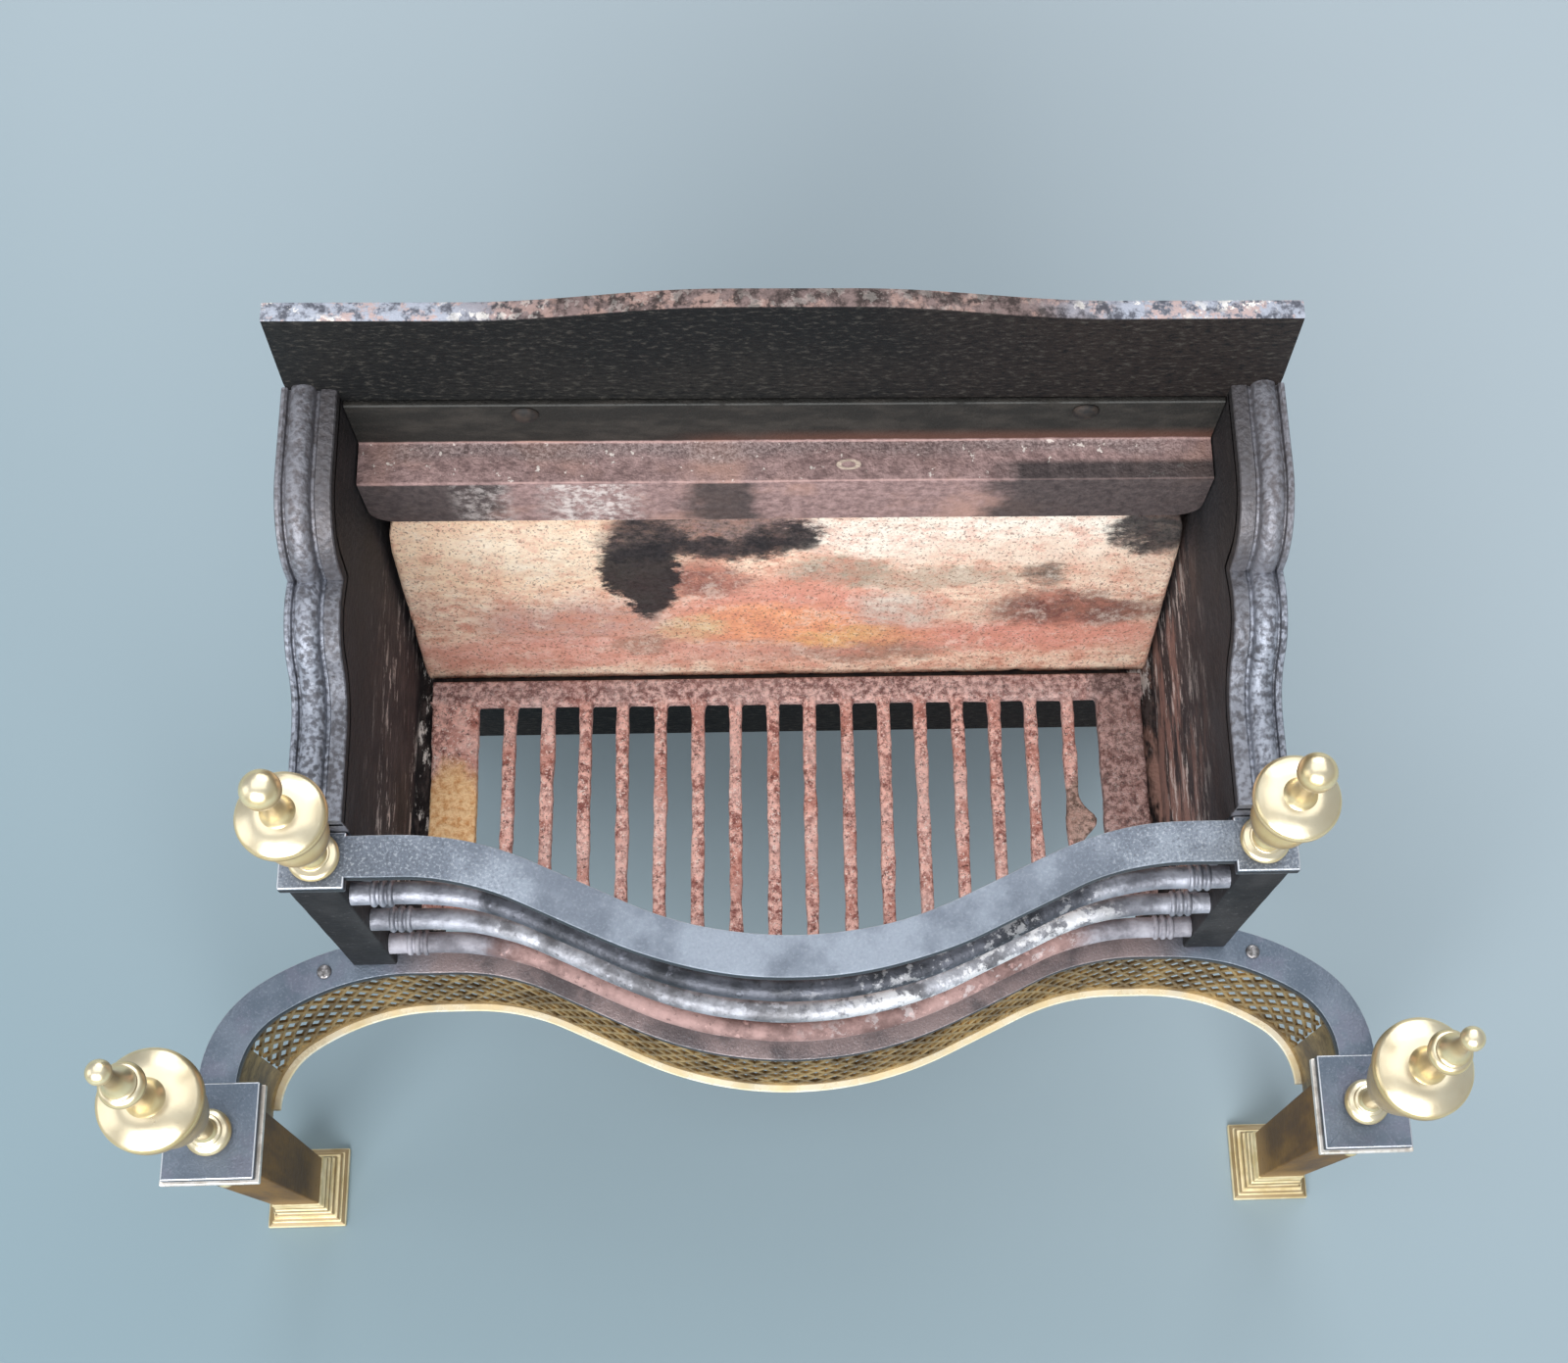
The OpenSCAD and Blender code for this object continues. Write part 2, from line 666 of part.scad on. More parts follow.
// Bowed round bar at height z, with turned rings and a tenon at each end
module round_bar(z) {
  r = round_bar_d / 2;
  translate([0, 0, z]) {
    sweep_bow(bars_y, stile_inner_x) {
      circle(r, $fn = 48);
      circle(r - core, $fn = 48);
    }
    both() {
      translate([stile_inner_x - 1, bars_y, 0]) rotate([0, 90, 0]) cylinder(h = tenon_len + 1, d = tenon_d);
      for (i = [0 : 2])
        translate([stile_inner_x - ring_start - (i + 1) * ring_w - i * ring_gap, bars_y, 0])
          rotate([0, 90, 0]) cylinder(h = ring_w, d = ring_d);
    }
  }
}

module lower_round_bar() { color("slategray") round_bar(bar_z[0]); }
module middle_round_bar() { color("slategray") round_bar(bar_z[1]); }
module upper_round_bar() { color("slategray") round_bar(bar_z[2]); }

module stile() {
  difference() {
    translate([stile_inner_x, stile_rear_y - stile_d, low_rail_z])
      cube([stile_w, stile_d, top_under_z - low_rail_z]);
    for (z = bar_z) translate([stile_inner_x - 1, bars_y, z]) rotate([0, 90, 0])
      cylinder(h = tenon_len + 1 + clear, d = tenon_d + 2 * fit);
    translate([upper_x, upper_y, top_under_z - rod_in_stile - clear])
      cylinder(h = rod_in_stile + 1, r = rod_d / 2 + fit);
  }
}
module left_stile() { color("slategray") mirror([1, 0, 0]) stile(); }
module right_stile() { color("slategray") stile(); }

module lower_rail() {
  pad = cap_w - 4;
  color("slategray") difference() {
    union() {
      flat_bow(low_y, -rail_w / 2, rail_w / 2, low_under_z, low_rail_z, wing_start_x + lap);
      flat_wings(-rail_w / 2, rail_w / 2, low_under_z, low_rail_z);
      both() translate([leg_x - pad / 2, wing_end_y + lap - pad, low_under_z]) cube([pad, pad, low_rail_t]);
    }
    lower_bores(low_under_z - 1, low_rail_z + 1);
    at_rivets(low_under_z - 1) cylinder(h = low_rail_t + 2, d = rivet_d + 2 * fit);
  }
}

// Diamond-shaped cutter facing along the strip
module diamond_cut(w, h) {
  reach = 6;
  rotate([90, 0, 0]) translate([0, 0, -reach]) linear_extrude(2 * reach)
    polygon([[-w / 2, 0], [0, h / 2], [w / 2, 0], [0, -h / 2]]);
}

// Place and heading on the lower rail's centre line at the distance s from the middle
function deg(s, r) = s / r / per_degree;
function on_bow(a) = [bow_r * sin(a), bow_cy(low_y) - bow_r * cos(a), a];
function on_run(s) = let (p = arc_end(low_y, 0) + (s - len_a) * [cos(bow_angle), sin(bow_angle)])
  [p[0], p[1], bow_angle];
function on_hollow(a) = [bow_end_x - hollow_r * sin(a), low_y - hollow_r * (1 - cos(a)), a];
function on_wing(a) = [wing_point(a)[0], wing_point(a)[1], -a];
function on_wing_end(a) = [wing_end_x - wing_r * (1 - cos(a)), wing_end_y + wing_r * sin(a), a - 90];
function strip_place(s) =
  s < len_a ? on_bow(deg(s, bow_r)) :
  s < len_b ? on_run(s) :
  s < len_c ? on_hollow(deg(len_c - s, hollow_r)) :
  s < len_d ? [bow_end_x + s - len_c, low_y, 0] :
  s < len_e ? on_wing(deg(s - len_d, wing_big_r)) :
  on_wing_end(deg(len_f - s, wing_r));

// Child at the distance s along the strip, moved forward to the middle of the fret
module on_fret(s) {
  p = strip_place(abs(s));
  m = s < 0 ? 1 : 0;
  mirror([m, 0, 0]) translate([p[0], p[1], 0]) rotate([0, 0, p[2]]) translate([0, -fret_mid, 0]) children();
}

module fret_panel() {
  tab_y = leg_y + leg_top_w / 2;
  color("goldenrod") difference() {
    union() {
      flat_bow(low_y, fret_rear, fret_front, fret_low_z, low_under_z, wing_start_x + lap);
      flat_wings(fret_rear, fret_front, fret_low_z, low_under_z);
      both() translate([wing_end_x - fret_front + core, tab_y + clear, fret_low_z])
        cube([fret_t - 2 * core, wing_end_y + lap - tab_y - clear, cap_under_z - clear - fret_low_z]);
    }
    for (i = [-columns : columns]) on_fret(i * diamond_pitch) {
      for (row = [-1 : 1]) translate([0, 0, mid_z + row * row_h]) diamond_cut(diamond_w, diamond_h);
    }
  }
}

module bead_section(inset) {
  r = bead_r - inset;
  intersection() {
    circle(r, $fn = 32);
    translate([-r - 1, -r - 1]) square([2 * r + 2, r + 1 + bead_flat]);
  }
}

module fret_bead() {
  color("gold") translate([0, 0, bead_z]) {
    sweep_bow(low_y, wing_start_x + lap) {
      translate([bead_mid, 0]) bead_section(0);
      translate([bead_mid, 0]) bead_section(core);
    }
    sweep_wings() {
      translate([bead_mid, 0]) bead_section(0);
      translate([bead_mid, 0]) bead_section(core);
    }
  }
}

// Part of the first wing arc, either side of the rivet
module bracket_band(d0, d1, z0, z1) {
  start_angle = 90 - bracket_angle - bracket_turn_angle / 2;
  both() bend(wing_start_x, low_y - wing_big_r, start_angle, bracket_turn_angle)
    translate([wing_big_r - d1, z0]) square([d1 - d0, z1 - z0]);
}

module fret_brackets() {
  front = fret_rear - 0.2;
  color("darkkhaki") difference() {
    union() {
      bracket_band(-rail_w / 2 + 2, front, low_under_z - bracket_t, low_under_z);
      bracket_band(front - bracket_t, front, low_under_z - bracket_h, low_under_z);
    }
    at_rivets(low_under_z - bracket_t - 1) cylinder(h = bracket_t + 2, d = rivet_d + 2 * fit);
  }
}

module rivet_head() {
  ball_r = (rivet_r * rivet_r + rivet_h * rivet_h) / (2 * rivet_h);
  intersection() {
    translate([0, 0, rivet_h - ball_r]) sphere(ball_r);
    cylinder(h = rivet_h, r = rivet_r);
  }
}

module fret_rivets() {
  low = low_under_z - bracket_t;
  color("silver") at_rivets(0) {
    translate([0, 0, low]) cylinder(h = low_rail_z - low, d = rivet_d);
    translate([0, 0, low_rail_z]) rivet_head();
    translate([0, 0, low]) mirror([0, 0, 1]) rivet_head();
  }
}

module leg_cap() {
  difference() {
    translate([leg_x - cap_w / 2, leg_y - cap_w / 2, cap_under_z]) cube([cap_w, cap_w, cap_t]);
    lower_bores(cap_under_z - 1, low_under_z + 1);
  }
}
module left_leg_cap() { color("gold") mirror([1, 0, 0]) leg_cap(); }
module right_leg_cap() { color("gold") leg_cap(); }

// Square solid whose half width and height follow the child outline
module square_turning(reach) {
  intersection() {
    translate([0, reach, 0]) rotate([90, 0, 0]) linear_extrude(2 * reach) children();
    rotate([0, 0, 90]) translate([0, reach, 0]) rotate([90, 0, 0]) linear_extrude(2 * reach) children();
  }
}

module leg() {
  difference() {
    translate([leg_x, leg_y, foot_h]) square_turning(leg_top_w) polygon([
      [-leg_foot_w / 2, 0],
      [leg_foot_w / 2, 0],
      [leg_top_w / 2, leg_len],
      [-leg_top_w / 2, leg_len]]);
    lower_bores(cap_under_z - rod_in_leg - clear, cap_under_z + 1);
  }
}
module left_leg() { color("gold") mirror([1, 0, 0]) leg(); }
module right_leg() { color("gold") leg(); }

module foot() {
  base = foot_w / 2;
  plinth_h = foot_h / 9;
  fillet_z = foot_h / 6;
  splay_z = foot_h * 4 / 9;
  bead_at_z = foot_h * 0.54;
  splay_foot = base - 2.5;
  neck = leg_foot_w / 2 - 0.4;
  neck_bead_r = foot_h / 15;
  reed_rise = foot_h / 15;
  translate([leg_x, leg_y, 0]) square_turning(foot_w) {
    translate([-base, 0]) square([2 * base, plinth_h]);
    polygon([[-splay_foot, plinth_h - 1], [splay_foot, plinth_h - 1], [splay_foot, fillet_z],
      [neck + 3, splay_z], [-neck - 3, splay_z], [-splay_foot, fillet_z]]);
    translate([-neck, splay_z - 1]) square([2 * neck, foot_h - splay_z + 1]);
    for (s = [-1, 1]) {
      translate([s * (neck + 0.9), bead_at_z]) circle(neck_bead_r, $fn = 32);
      for (i = [0 : 4]) translate([s * (neck + 0.5 - i * 0.2), foot_h - (5.1 - i) * reed_rise])
        circle(reed_rise * 0.42, $fn = 24);
    }
  }
}
module left_foot() { color("gold") mirror([1, 0, 0]) foot(); }
module right_foot() { color("gold") foot(); }

// Fluted boss on the front face of a leg
module rosette() {
  mid_half = leg_foot_w / 2 + (leg_top_w - leg_foot_w) / 2 * (rosette_z - foot_h) / leg_len;
  translate([leg_x, leg_y - mid_half, rosette_z]) rotate([leg_taper, 0, 0]) rotate([90, 0, 0]) {
    difference() {
      cylinder(h = rosette_t, r = rosette_r);
      for (a = [0 : 30 : 330]) rotate([0, 0, a]) translate([rosette_r + 0.6, 0, -1])
        cylinder(h = rosette_t + 2, r = 1.4, $fn = 24);
    }
    cylinder(h = rosette_t + 1.6, r = rosette_r * 0.45);
  }
}
module left_rosette() { color("gold") mirror([1, 0, 0]) rosette(); }
module right_rosette() { color("gold") rosette(); }

module finial_rods() {
  color("silver") for (s = [-1, 1]) {
    translate([s * upper_x, upper_y, top_under_z - rod_in_stile])
      cylinder(h = upper_rod_z + rod_in_tip - top_under_z + rod_in_stile, d = rod_d);
    translate([s * leg_x, leg_y, cap_under_z - rod_in_leg])
      cylinder(h = lower_rod_z + rod_in_tip - cap_under_z + rod_in_leg, d = rod_d);
  }
}

// Outlines for turning, as radius and height. Smooth change between two radii over a height
function swell(r0, r1, z0, z1, n) =
  [for (i = [0 : n]) [r0 + (r1 - r0) * ease(i / n), z0 + (z1 - z0) * i / n]];
// The same with a sagging line
function sag(r0, r1, z0, z1, n) =
  [for (i = [0 : n]) [r0 + (r1 - r0) * sin(90 * i / n), z0 + (z1 - z0) * (1 - cos(90 * i / n))]];
// Half-round moulding
function roll(r, z0, z1, n) = let (half = (z1 - z0) / 2)
  [for (i = [0 : n]) [r + half * sin(180 * i / n), z0 + half * (1 - cos(180 * i / n))]];

module turned(points, bore_h) {
  difference() {
    rotate_extrude() polygon(points);
    translate([0, 0, -1]) cylinder(h = bore_h + 1, r = rod_d / 2 + fit);
  }
}

// Urn: a round base moulding, a thin stem with a ring, a swelling body and a flat rim
module cup(rim_r, h, rim_h) {
  stem_r = base_r * 0.55;
  ring_low = base_h + 3;
  ring_high = ring_low + 4;
  body_top = h - rim_h - 1;
  turned(concat(
    [[0, 0]],
    roll(base_r - base_h / 2, 0, base_h, 8),
    [[stem_r, base_h + 1.5]],
    roll(stem_r, ring_low, ring_high, 6),
    swell(base_r * 0.45, rim_r - 1.5, ring_high + 2, body_top, 18),
    [[rim_r, h - rim_h], [rim_r, h - 1], [rim_r - 1, h], [0, h]]), h + 1);
}
module at_upper(s, z) { color("gold") translate([s * upper_x, upper_y, z]) children(); }
module at_lower(s, z) { color("gold") translate([s * leg_x, leg_y, z]) children(); }
module left_upper_cup() { at_upper(-1, top_rail_z) cup(upper_rim_r, upper_cup_h, upper_rim_h); }
module right_upper_cup() { at_upper(1, top_rail_z) cup(upper_rim_r, upper_cup_h, upper_rim_h); }
module left_lower_cup() { at_lower(-1, low_rail_z) cup(lower_rim_r, lower_cup_h, lower_rim_h); }
module right_lower_cup() { at_lower(1, low_rail_z) cup(lower_rim_r, lower_cup_h, lower_rim_h); }

// Cover: a flat disc that sweeps up to a neck with a collar
module cover(rim_r, h, neck_r) {
  seat_r = rim_r - 1.5;
  collar_r = neck_r + 1.5;
  turned(concat(
    [[0, 0], [seat_r, 0], [seat_r, 1.5]],
    sag(rim_r - 3, neck_r, 2, h - 4, 14),
    [[collar_r, h - 3], [collar_r, h - 1], [neck_r, h], [0, h]]), h + 1);
}
module left_upper_cover() { at_upper(-1, upper_cover_z) cover(upper_rim_r, upper_cover_h, upper_neck_r); }
module right_upper_cover() { at_upper(1, upper_cover_z) cover(upper_rim_r, upper_cover_h, upper_neck_r); }
module left_lower_cover() { at_lower(-1, lower_cover_z) cover(lower_rim_r, lower_cover_h, lower_neck_r); }
module right_lower_cover() { at_lower(1, lower_cover_z) cover(lower_rim_r, lower_cover_h, lower_neck_r); }

// Ball with a small flat under it, bored for the end of the rod
module ball() {
  sunk = 0.6;
  difference() {
    intersection() {
      translate([0, 0, upper_ball_r - sunk]) sphere(upper_ball_r);
      cylinder(h = 3 * upper_ball_r, r = upper_ball_r + 1);
    }
    translate([0, 0, -1]) cylinder(h = rod_in_tip + 1 + clear, r = rod_d / 2 + fit);
  }
}
module left_upper_ball() { at_upper(-1, upper_rod_z) ball(); }
module right_upper_ball() { at_upper(1, upper_rod_z) ball(); }

// Spire: a round ring, a tapering stem and a small ball at the top
module spire() {
  tip_z = lower_spire_h - spire_tip_r;
  ring_half = 4.5;
  stem_z = spire_ring_z + ring_half + 1;
  difference() {
    union() {
      rotate_extrude() polygon(concat(
        [[0, 0], [lower_neck_r, 0]],
        roll(spire_ring_r - ring_half, spire_ring_z - ring_half, spire_ring_z + ring_half, 10),
        [[lower_neck_r, stem_z]],
        swell(lower_neck_r, spire_neck_r, stem_z, tip_z - spire_tip_r / 2, 10),
        [[spire_neck_r, tip_z], [0, tip_z]]));
      translate([0, 0, tip_z]) sphere(spire_tip_r);
    }
    translate([0, 0, -1]) cylinder(h = rod_in_tip + 1 + clear, r = rod_d / 2 + fit);
  }
}
module left_lower_spire() { at_lower(-1, lower_rod_z) spire(); }
module right_lower_spire() { at_lower(1, lower_rod_z) spire(); }

back_plate();
left_cheek();
right_cheek();
cheek_screws();
brick_retainer();
retainer_bolts();
firebrick();
brick_shelf();
shelf_bolts();
rear_nuts();
bottom_grate();
top_rail();
upper_round_bar();
middle_round_bar();
lower_round_bar();
left_stile();
right_stile();
lower_rail();
fret_panel();
fret_bead();
fret_brackets();
fret_rivets();
left_leg_cap();
right_leg_cap();
left_leg();
right_leg();
left_foot();
right_foot();
left_rosette();
right_rosette();
finial_rods();
left_upper_cup();
right_upper_cup();
left_upper_cover();
right_upper_cover();
left_upper_ball();
right_upper_ball();
left_lower_cup();
right_lower_cup();
left_lower_cover();
right_lower_cover();
left_lower_spire();
right_lower_spire();
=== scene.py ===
import math

import bmesh
import bpy
from mathutils import Matrix, Vector, noise


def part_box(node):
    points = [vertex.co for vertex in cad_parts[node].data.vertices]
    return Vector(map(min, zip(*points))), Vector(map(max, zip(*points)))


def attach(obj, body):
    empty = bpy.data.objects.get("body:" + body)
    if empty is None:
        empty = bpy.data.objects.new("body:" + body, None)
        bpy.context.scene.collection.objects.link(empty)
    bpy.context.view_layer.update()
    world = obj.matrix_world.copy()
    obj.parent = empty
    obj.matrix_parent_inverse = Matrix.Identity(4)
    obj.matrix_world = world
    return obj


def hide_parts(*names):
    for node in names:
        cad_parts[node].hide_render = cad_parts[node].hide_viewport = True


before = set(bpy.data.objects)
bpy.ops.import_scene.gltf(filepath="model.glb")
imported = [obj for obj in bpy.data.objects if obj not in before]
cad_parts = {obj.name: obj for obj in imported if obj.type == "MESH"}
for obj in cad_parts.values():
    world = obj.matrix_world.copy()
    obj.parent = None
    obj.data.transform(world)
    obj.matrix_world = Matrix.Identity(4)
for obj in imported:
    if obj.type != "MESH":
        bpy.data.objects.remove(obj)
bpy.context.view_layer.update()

mm = 0.001

# Camera: a steep look down from the front, as in the photograph. Its lens, place and tilt were
# solved from the object's corners, so the optical axis is given in the photograph's pixels.
image_w, image_h = 1600, 1391
focal_px, axis_px_x, axis_px_y = 2146, 923, 664
camera_data = bpy.data.cameras.new("camera")
camera_data.sensor_width = 36
camera_data.lens = focal_px / image_w * camera_data.sensor_width
camera_data.shift_x = 0.5 - axis_px_x / image_w
camera_data.shift_y = (axis_px_y - image_h / 2) / image_w
camera = bpy.data.objects.new("camera", camera_data)
camera.matrix_world = (Matrix.Translation((-0.010, -0.355, 1.585))
                       @ Matrix.Rotation(math.radians(-9.91), 4, "Z")
                       @ Matrix.Rotation(math.radians(20.97), 4, "X")
                       @ Matrix.Rotation(math.radians(8.54), 4, "Z"))
bpy.context.scene.collection.objects.link(camera)
bpy.context.scene.camera = camera
bpy.context.scene.view_settings.view_transform = "Standard"


# Studio: a pale blue-grey floor, an even sky and four soft lamps. The lamp at the front is the
# bright window that the polished brass shows.
def lamp(name, place, aim, size, power):
    data = bpy.data.lights.new(name, "AREA")
    data.shape, data.size, data.size_y, data.energy = "RECTANGLE", size[0], size[1], power
    light = bpy.data.objects.new(name, data)
    light.location = place
    light.rotation_euler = (Vector(aim) - Vector(place)).to_track_quat("-Z", "Y").to_euler()
    bpy.context.scene.collection.objects.link(light)


lamp("front_window", (-0.4, -2.1, 1.8), (0, 0, 0.35), (2.4, 1.6), 92)
lamp("top_softbox", (0.0, 0.7, 2.6), (0, 0.1, 0.3), (3.4, 2.2), 27)
lamp("back_fill", (0.3, 2.4, 1.9), (0, 0.7, 0), (2.4, 1.4), 34)
lamp("left_fill", (-2.2, -0.3, 1.3), (0, 0, 0.3), (1.2, 1.4), 6)

world = bpy.data.worlds.new("studio")
bpy.context.scene.world = world
world.use_nodes = True
world.node_tree.nodes["Background"].inputs["Color"].default_value = (0.86, 0.93, 1.0, 1)
world.node_tree.nodes["Background"].inputs["Strength"].default_value = 0.32


class Wire:
    """One output of a material's nodes. Sums and products of wires add their own Math nodes."""

    def __init__(self, socket):
        self.socket = socket

    def node(self, kind, settings, inputs, output=0):
        tree = self.socket.id_data
        made = tree.nodes.new("ShaderNode" + kind)
        for key, value in settings.items():
            setattr(made, key, value)
        for key, value in inputs.items():
            if isinstance(value, Wire):
                tree.links.new(value.socket, made.inputs[key])
            else:
                made.inputs[key].default_value = value
        return Wire(made.outputs[output])

    def maths(self, operation, a, b):
        return self.node("Math", {"operation": operation}, {0: a, 1: b})

    def __add__(self, other):
        return self.maths("ADD", self, other)

    def __sub__(self, other):
        return self.maths("SUBTRACT", self, other)

    def __rsub__(self, other):
        return self.maths("SUBTRACT", other, self)

    def __mul__(self, other):
        return self.maths("MULTIPLY", self, other)

    def __truediv__(self, other):
        return self.maths("DIVIDE", self, other)

    def __pow__(self, other):
        return self.maths("POWER", self, other)

    __radd__, __rmul__ = __add__, __mul__

    def larger(self, other):
        return self.maths("MAXIMUM", self, other)

    def size(self):
        return self.larger(self * -1)

    def rise(self, low, high):
        """0 below low, 1 above high, smooth between."""
        return self.node("MapRange", {"interpolation_type": "SMOOTHSTEP"},
                         {"Value": self, "From Min": low, "From Max": high})

    def mix(self, low, high):
        """The colour low where the wire is 0 and high where it is 1."""
        ends = [end if isinstance(end, Wire) else (*end, 1) for end in (low, high)]
        return self.node("Mix", {"data_type": "RGBA"}, {0: self, 6: ends[0], 7: ends[1]}, 2)

    def times(self, other, amount=1.0):
        """Two colours multiplied, by a share."""
        return self.node("Mix", {"data_type": "RGBA", "blend_type": "MULTIPLY"},
                         {0: amount, 6: self, 7: other}, 2)

    def grain(self, scale, detail=4, rough=0.55):
        """Noise of a given scale, one grain being about 1 / scale metres, at this place."""
        return self.node("TexNoise", {}, {"Vector": self, "Scale": scale, "Detail": detail,
                                          "Roughness": rough})

    def stretched(self, x, y, z):
        return self.node("VectorMath", {"operation": "MULTIPLY"}, {0: self, 1: (x, y, z)})


class Finish:
    """A material with its place and normal ready as wires."""

    def __init__(self, name):
        self.material = bpy.data.materials.new(name)
        self.material.use_nodes = True
        self.nodes = self.material.node_tree.nodes
        self.shader = self.nodes["Principled BSDF"]
        self.place = Wire(self.nodes.new("ShaderNodeTexCoord").outputs["Object"])
        split = self.nodes.new("ShaderNodeSeparateXYZ")
        self.material.node_tree.links.new(self.place.socket, split.inputs[0])
        self.x, self.y, self.z = (Wire(split.outputs[i]) for i in range(3))
        face = self.nodes.new("ShaderNodeSeparateXYZ")
        normal = self.nodes.new("ShaderNodeNewGeometry").outputs["Normal"]
        self.material.node_tree.links.new(normal, face.inputs[0])
        self.facing_up = Wire(face.outputs[2])

    def feed(self, name, value):
        socket = self.shader.inputs[name]
        if isinstance(value, Wire):
            self.material.node_tree.links.new(value.socket, socket)
        else:
            socket.default_value = (*value, 1) if isinstance(value, tuple) else value

    def grain(self, *shape):
        return self.place.grain(*shape)

    def dress(self, colour, rough, metal=0.0, shine=0.5, texture=None, depth=0.0):
        """Sets the colour, roughness, metal and shine, and raises the texture by depth metres at 1."""
        self.feed("Base Color", colour)
        self.feed("Roughness", rough)
        self.feed("Metallic", metal)
        self.feed("Specular IOR Level", shine)
        if texture:
            inputs = {"Height": texture, "Distance": depth, "Strength": 1.0}
            self.feed("Normal", texture.node("Bump", {}, inputs))


floor_finish = Finish("backdrop_paper")
# Painted light on the floor: its colour grows lighter towards the back and right, and far off it turns pale
# where the lamps don't reach.
painted_floor_light = (floor_finish.y + floor_finish.x * 0.6).rise(-0.9, 1.2)
far_off = (floor_finish.x ** 2 + floor_finish.y ** 2) ** 0.5
paper = painted_floor_light.mix((0.222, 0.308, 0.352), (0.425, 0.500, 0.548))
floor_finish.dress(far_off.rise(1.1, 3.0).mix(paper, (0.86, 0.93, 0.98)), 0.9, shine=0.1)
floor_half = 6.0
floor_mesh = bpy.data.meshes.new("floor")
floor_corners = [(x * floor_half, y * floor_half, 0) for x, y in ((-1, -1), (1, -1), (1, 1), (-1, 1))]
floor_mesh.from_pydata(floor_corners, [], [(0, 1, 2, 3)])
floor_mesh.materials.append(floor_finish.material)
floor = bpy.data.objects.new("floor", floor_mesh)
bpy.context.scene.collection.objects.link(floor)


# Fireback: a flat iron casting with a low curved crest, standing on the hearth. Sand-cast, sooted
# black, with its top edge rubbed down to bare and rusty metal.
def rounded(corners, radius, steps=3):
    """A closed outline with each corner cut back by radius and rounded."""
    points = []
    for i, corner in enumerate(corners):
        here = Vector(corner)
        before, after = Vector(corners[i - 1]) - here, Vector(corners[(i + 1) % len(corners)]) - here
        cut = min(radius, before.length * 0.49, after.length * 0.49)
        start, end = here + before.normalized() * cut, here + after.normalized() * cut
        for k in range(steps + 1):
            t = k / steps
            points.append(start * (1 - t) ** 2 + here * 2 * t * (1 - t) + end * t ** 2)
    return points


def shrunk(outline, by):
    """A closed outline moved inwards by a distance; the outline runs anticlockwise."""
    points = []
    for i, point in enumerate(outline):
        here = Vector(point)
        before = (here - Vector(outline[i - 1])).normalized()
        after = (Vector(outline[(i + 1) % len(outline)]) - here).normalized()
        inward = Vector((-before.y - after.y, before.x + after.x))
        points.append(here + inward / max(inward.length_squared, 0.4) * 2 * by)
    return points


def ease(t):
    return (1 - math.cos(math.pi * t)) / 2


def circle(radius, steps):
    angles = [2 * math.pi * k / steps for k in range(steps)]
    return [(radius * math.cos(a), radius * math.sin(a)) for a in angles]


class Stock:
    """Metal or clay being worked: a mesh put together from lofted rings."""

    def __init__(self):
        self.points, self.faces = [], []

    def loft(self, rings, capped=True, closed=False):
        count, first = len(rings[0]), len(self.points)
        self.points += [tuple(point) for ring in rings for point in ring]
        spans = len(rings) if closed else len(rings) - 1
        for i in range(spans):
            a, b = first + i * count, first + (i + 1) % len(rings) * count
            self.faces += [(a + j, a + (j + 1) % count, b + (j + 1) % count, b + j) for j in range(count)]
        if capped and not closed:
            self.faces.append(tuple(first + j for j in reversed(range(count))))
            self.faces.append(tuple(first + (len(rings) - 1) * count + j for j in range(count)))

    def turn(self, profile, centre, steps=64, tilt=None):
        """Turns a profile of (radius, height) about an upright axis, or a tilted one."""
        move = Matrix.Translation(centre) @ (tilt or Matrix.Identity(4))
        self.loft([[move @ Vector((x, y, h)) for x, y in circle(max(r, 0.01 * mm), steps)]
                   for r, h in profile])

    def plate(self, outline, low, high, soft, lay=lambda x, y, z: (x, y, z)):
        """A plate with softened edges: an anticlockwise outline between two levels, laid by a function."""
        steps = [(soft, 0), (soft * 0.3, soft * 0.3), (0, soft)]
        levels = [(d, low + h) for d, h in steps] + [(d, high - h) for d, h in reversed(steps)]
        self.loft([[lay(p.x, p.y, level) for p in shrunk(outline, d)] for d, level in levels])

    def piece(self, name, finish, body, slot, node, crease=35):
        mesh = bpy.data.meshes.new(name)
        mesh.from_pydata(self.points, [], self.faces)
        work = bmesh.new()
        work.from_mesh(mesh)
        bmesh.ops.recalc_face_normals(work, faces=work.faces)
        work.to_mesh(mesh)
        work.free()
        mesh.materials.append(finish.material)
        mesh.polygons.foreach_set("use_smooth", [True] * len(mesh.polygons))
        mesh.set_sharp_from_angle(angle=math.radians(crease))
        mesh.polygons.foreach_set("use_smooth", [len(face.vertices) == 4 for face in mesh.polygons])
        made = bpy.data.objects.new(name, mesh)
        bpy.context.scene.collection.objects.link(made)
        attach(made, body)
        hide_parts(node)


plate_low, plate_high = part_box("back_plate")
face_y, rear_y = plate_low.y, plate_high.y
corner_z, crest_half, crest_flat, shoulder_z, corner_in = 0.652, 0.165, 0.032, 0.587, 0.003
crest_rise = plate_high.z - corner_z
climb = [k / 14 for k in range(15)]
crest = [(side * (crest_half + (crest_flat - crest_half) * t), corner_z + crest_rise * ease(t))
         for side, way in ((1, climb), (-1, climb[::-1])) for t in way]
plate_half = plate_high.x
plate_outline = [(-plate_half, 0), (plate_half, 0), (plate_half, shoulder_z)]
plate_outline += [(plate_half - corner_in, corner_z)] + crest + [(corner_in - plate_half, corner_z)]
plate_outline.append((-plate_half, shoulder_z))

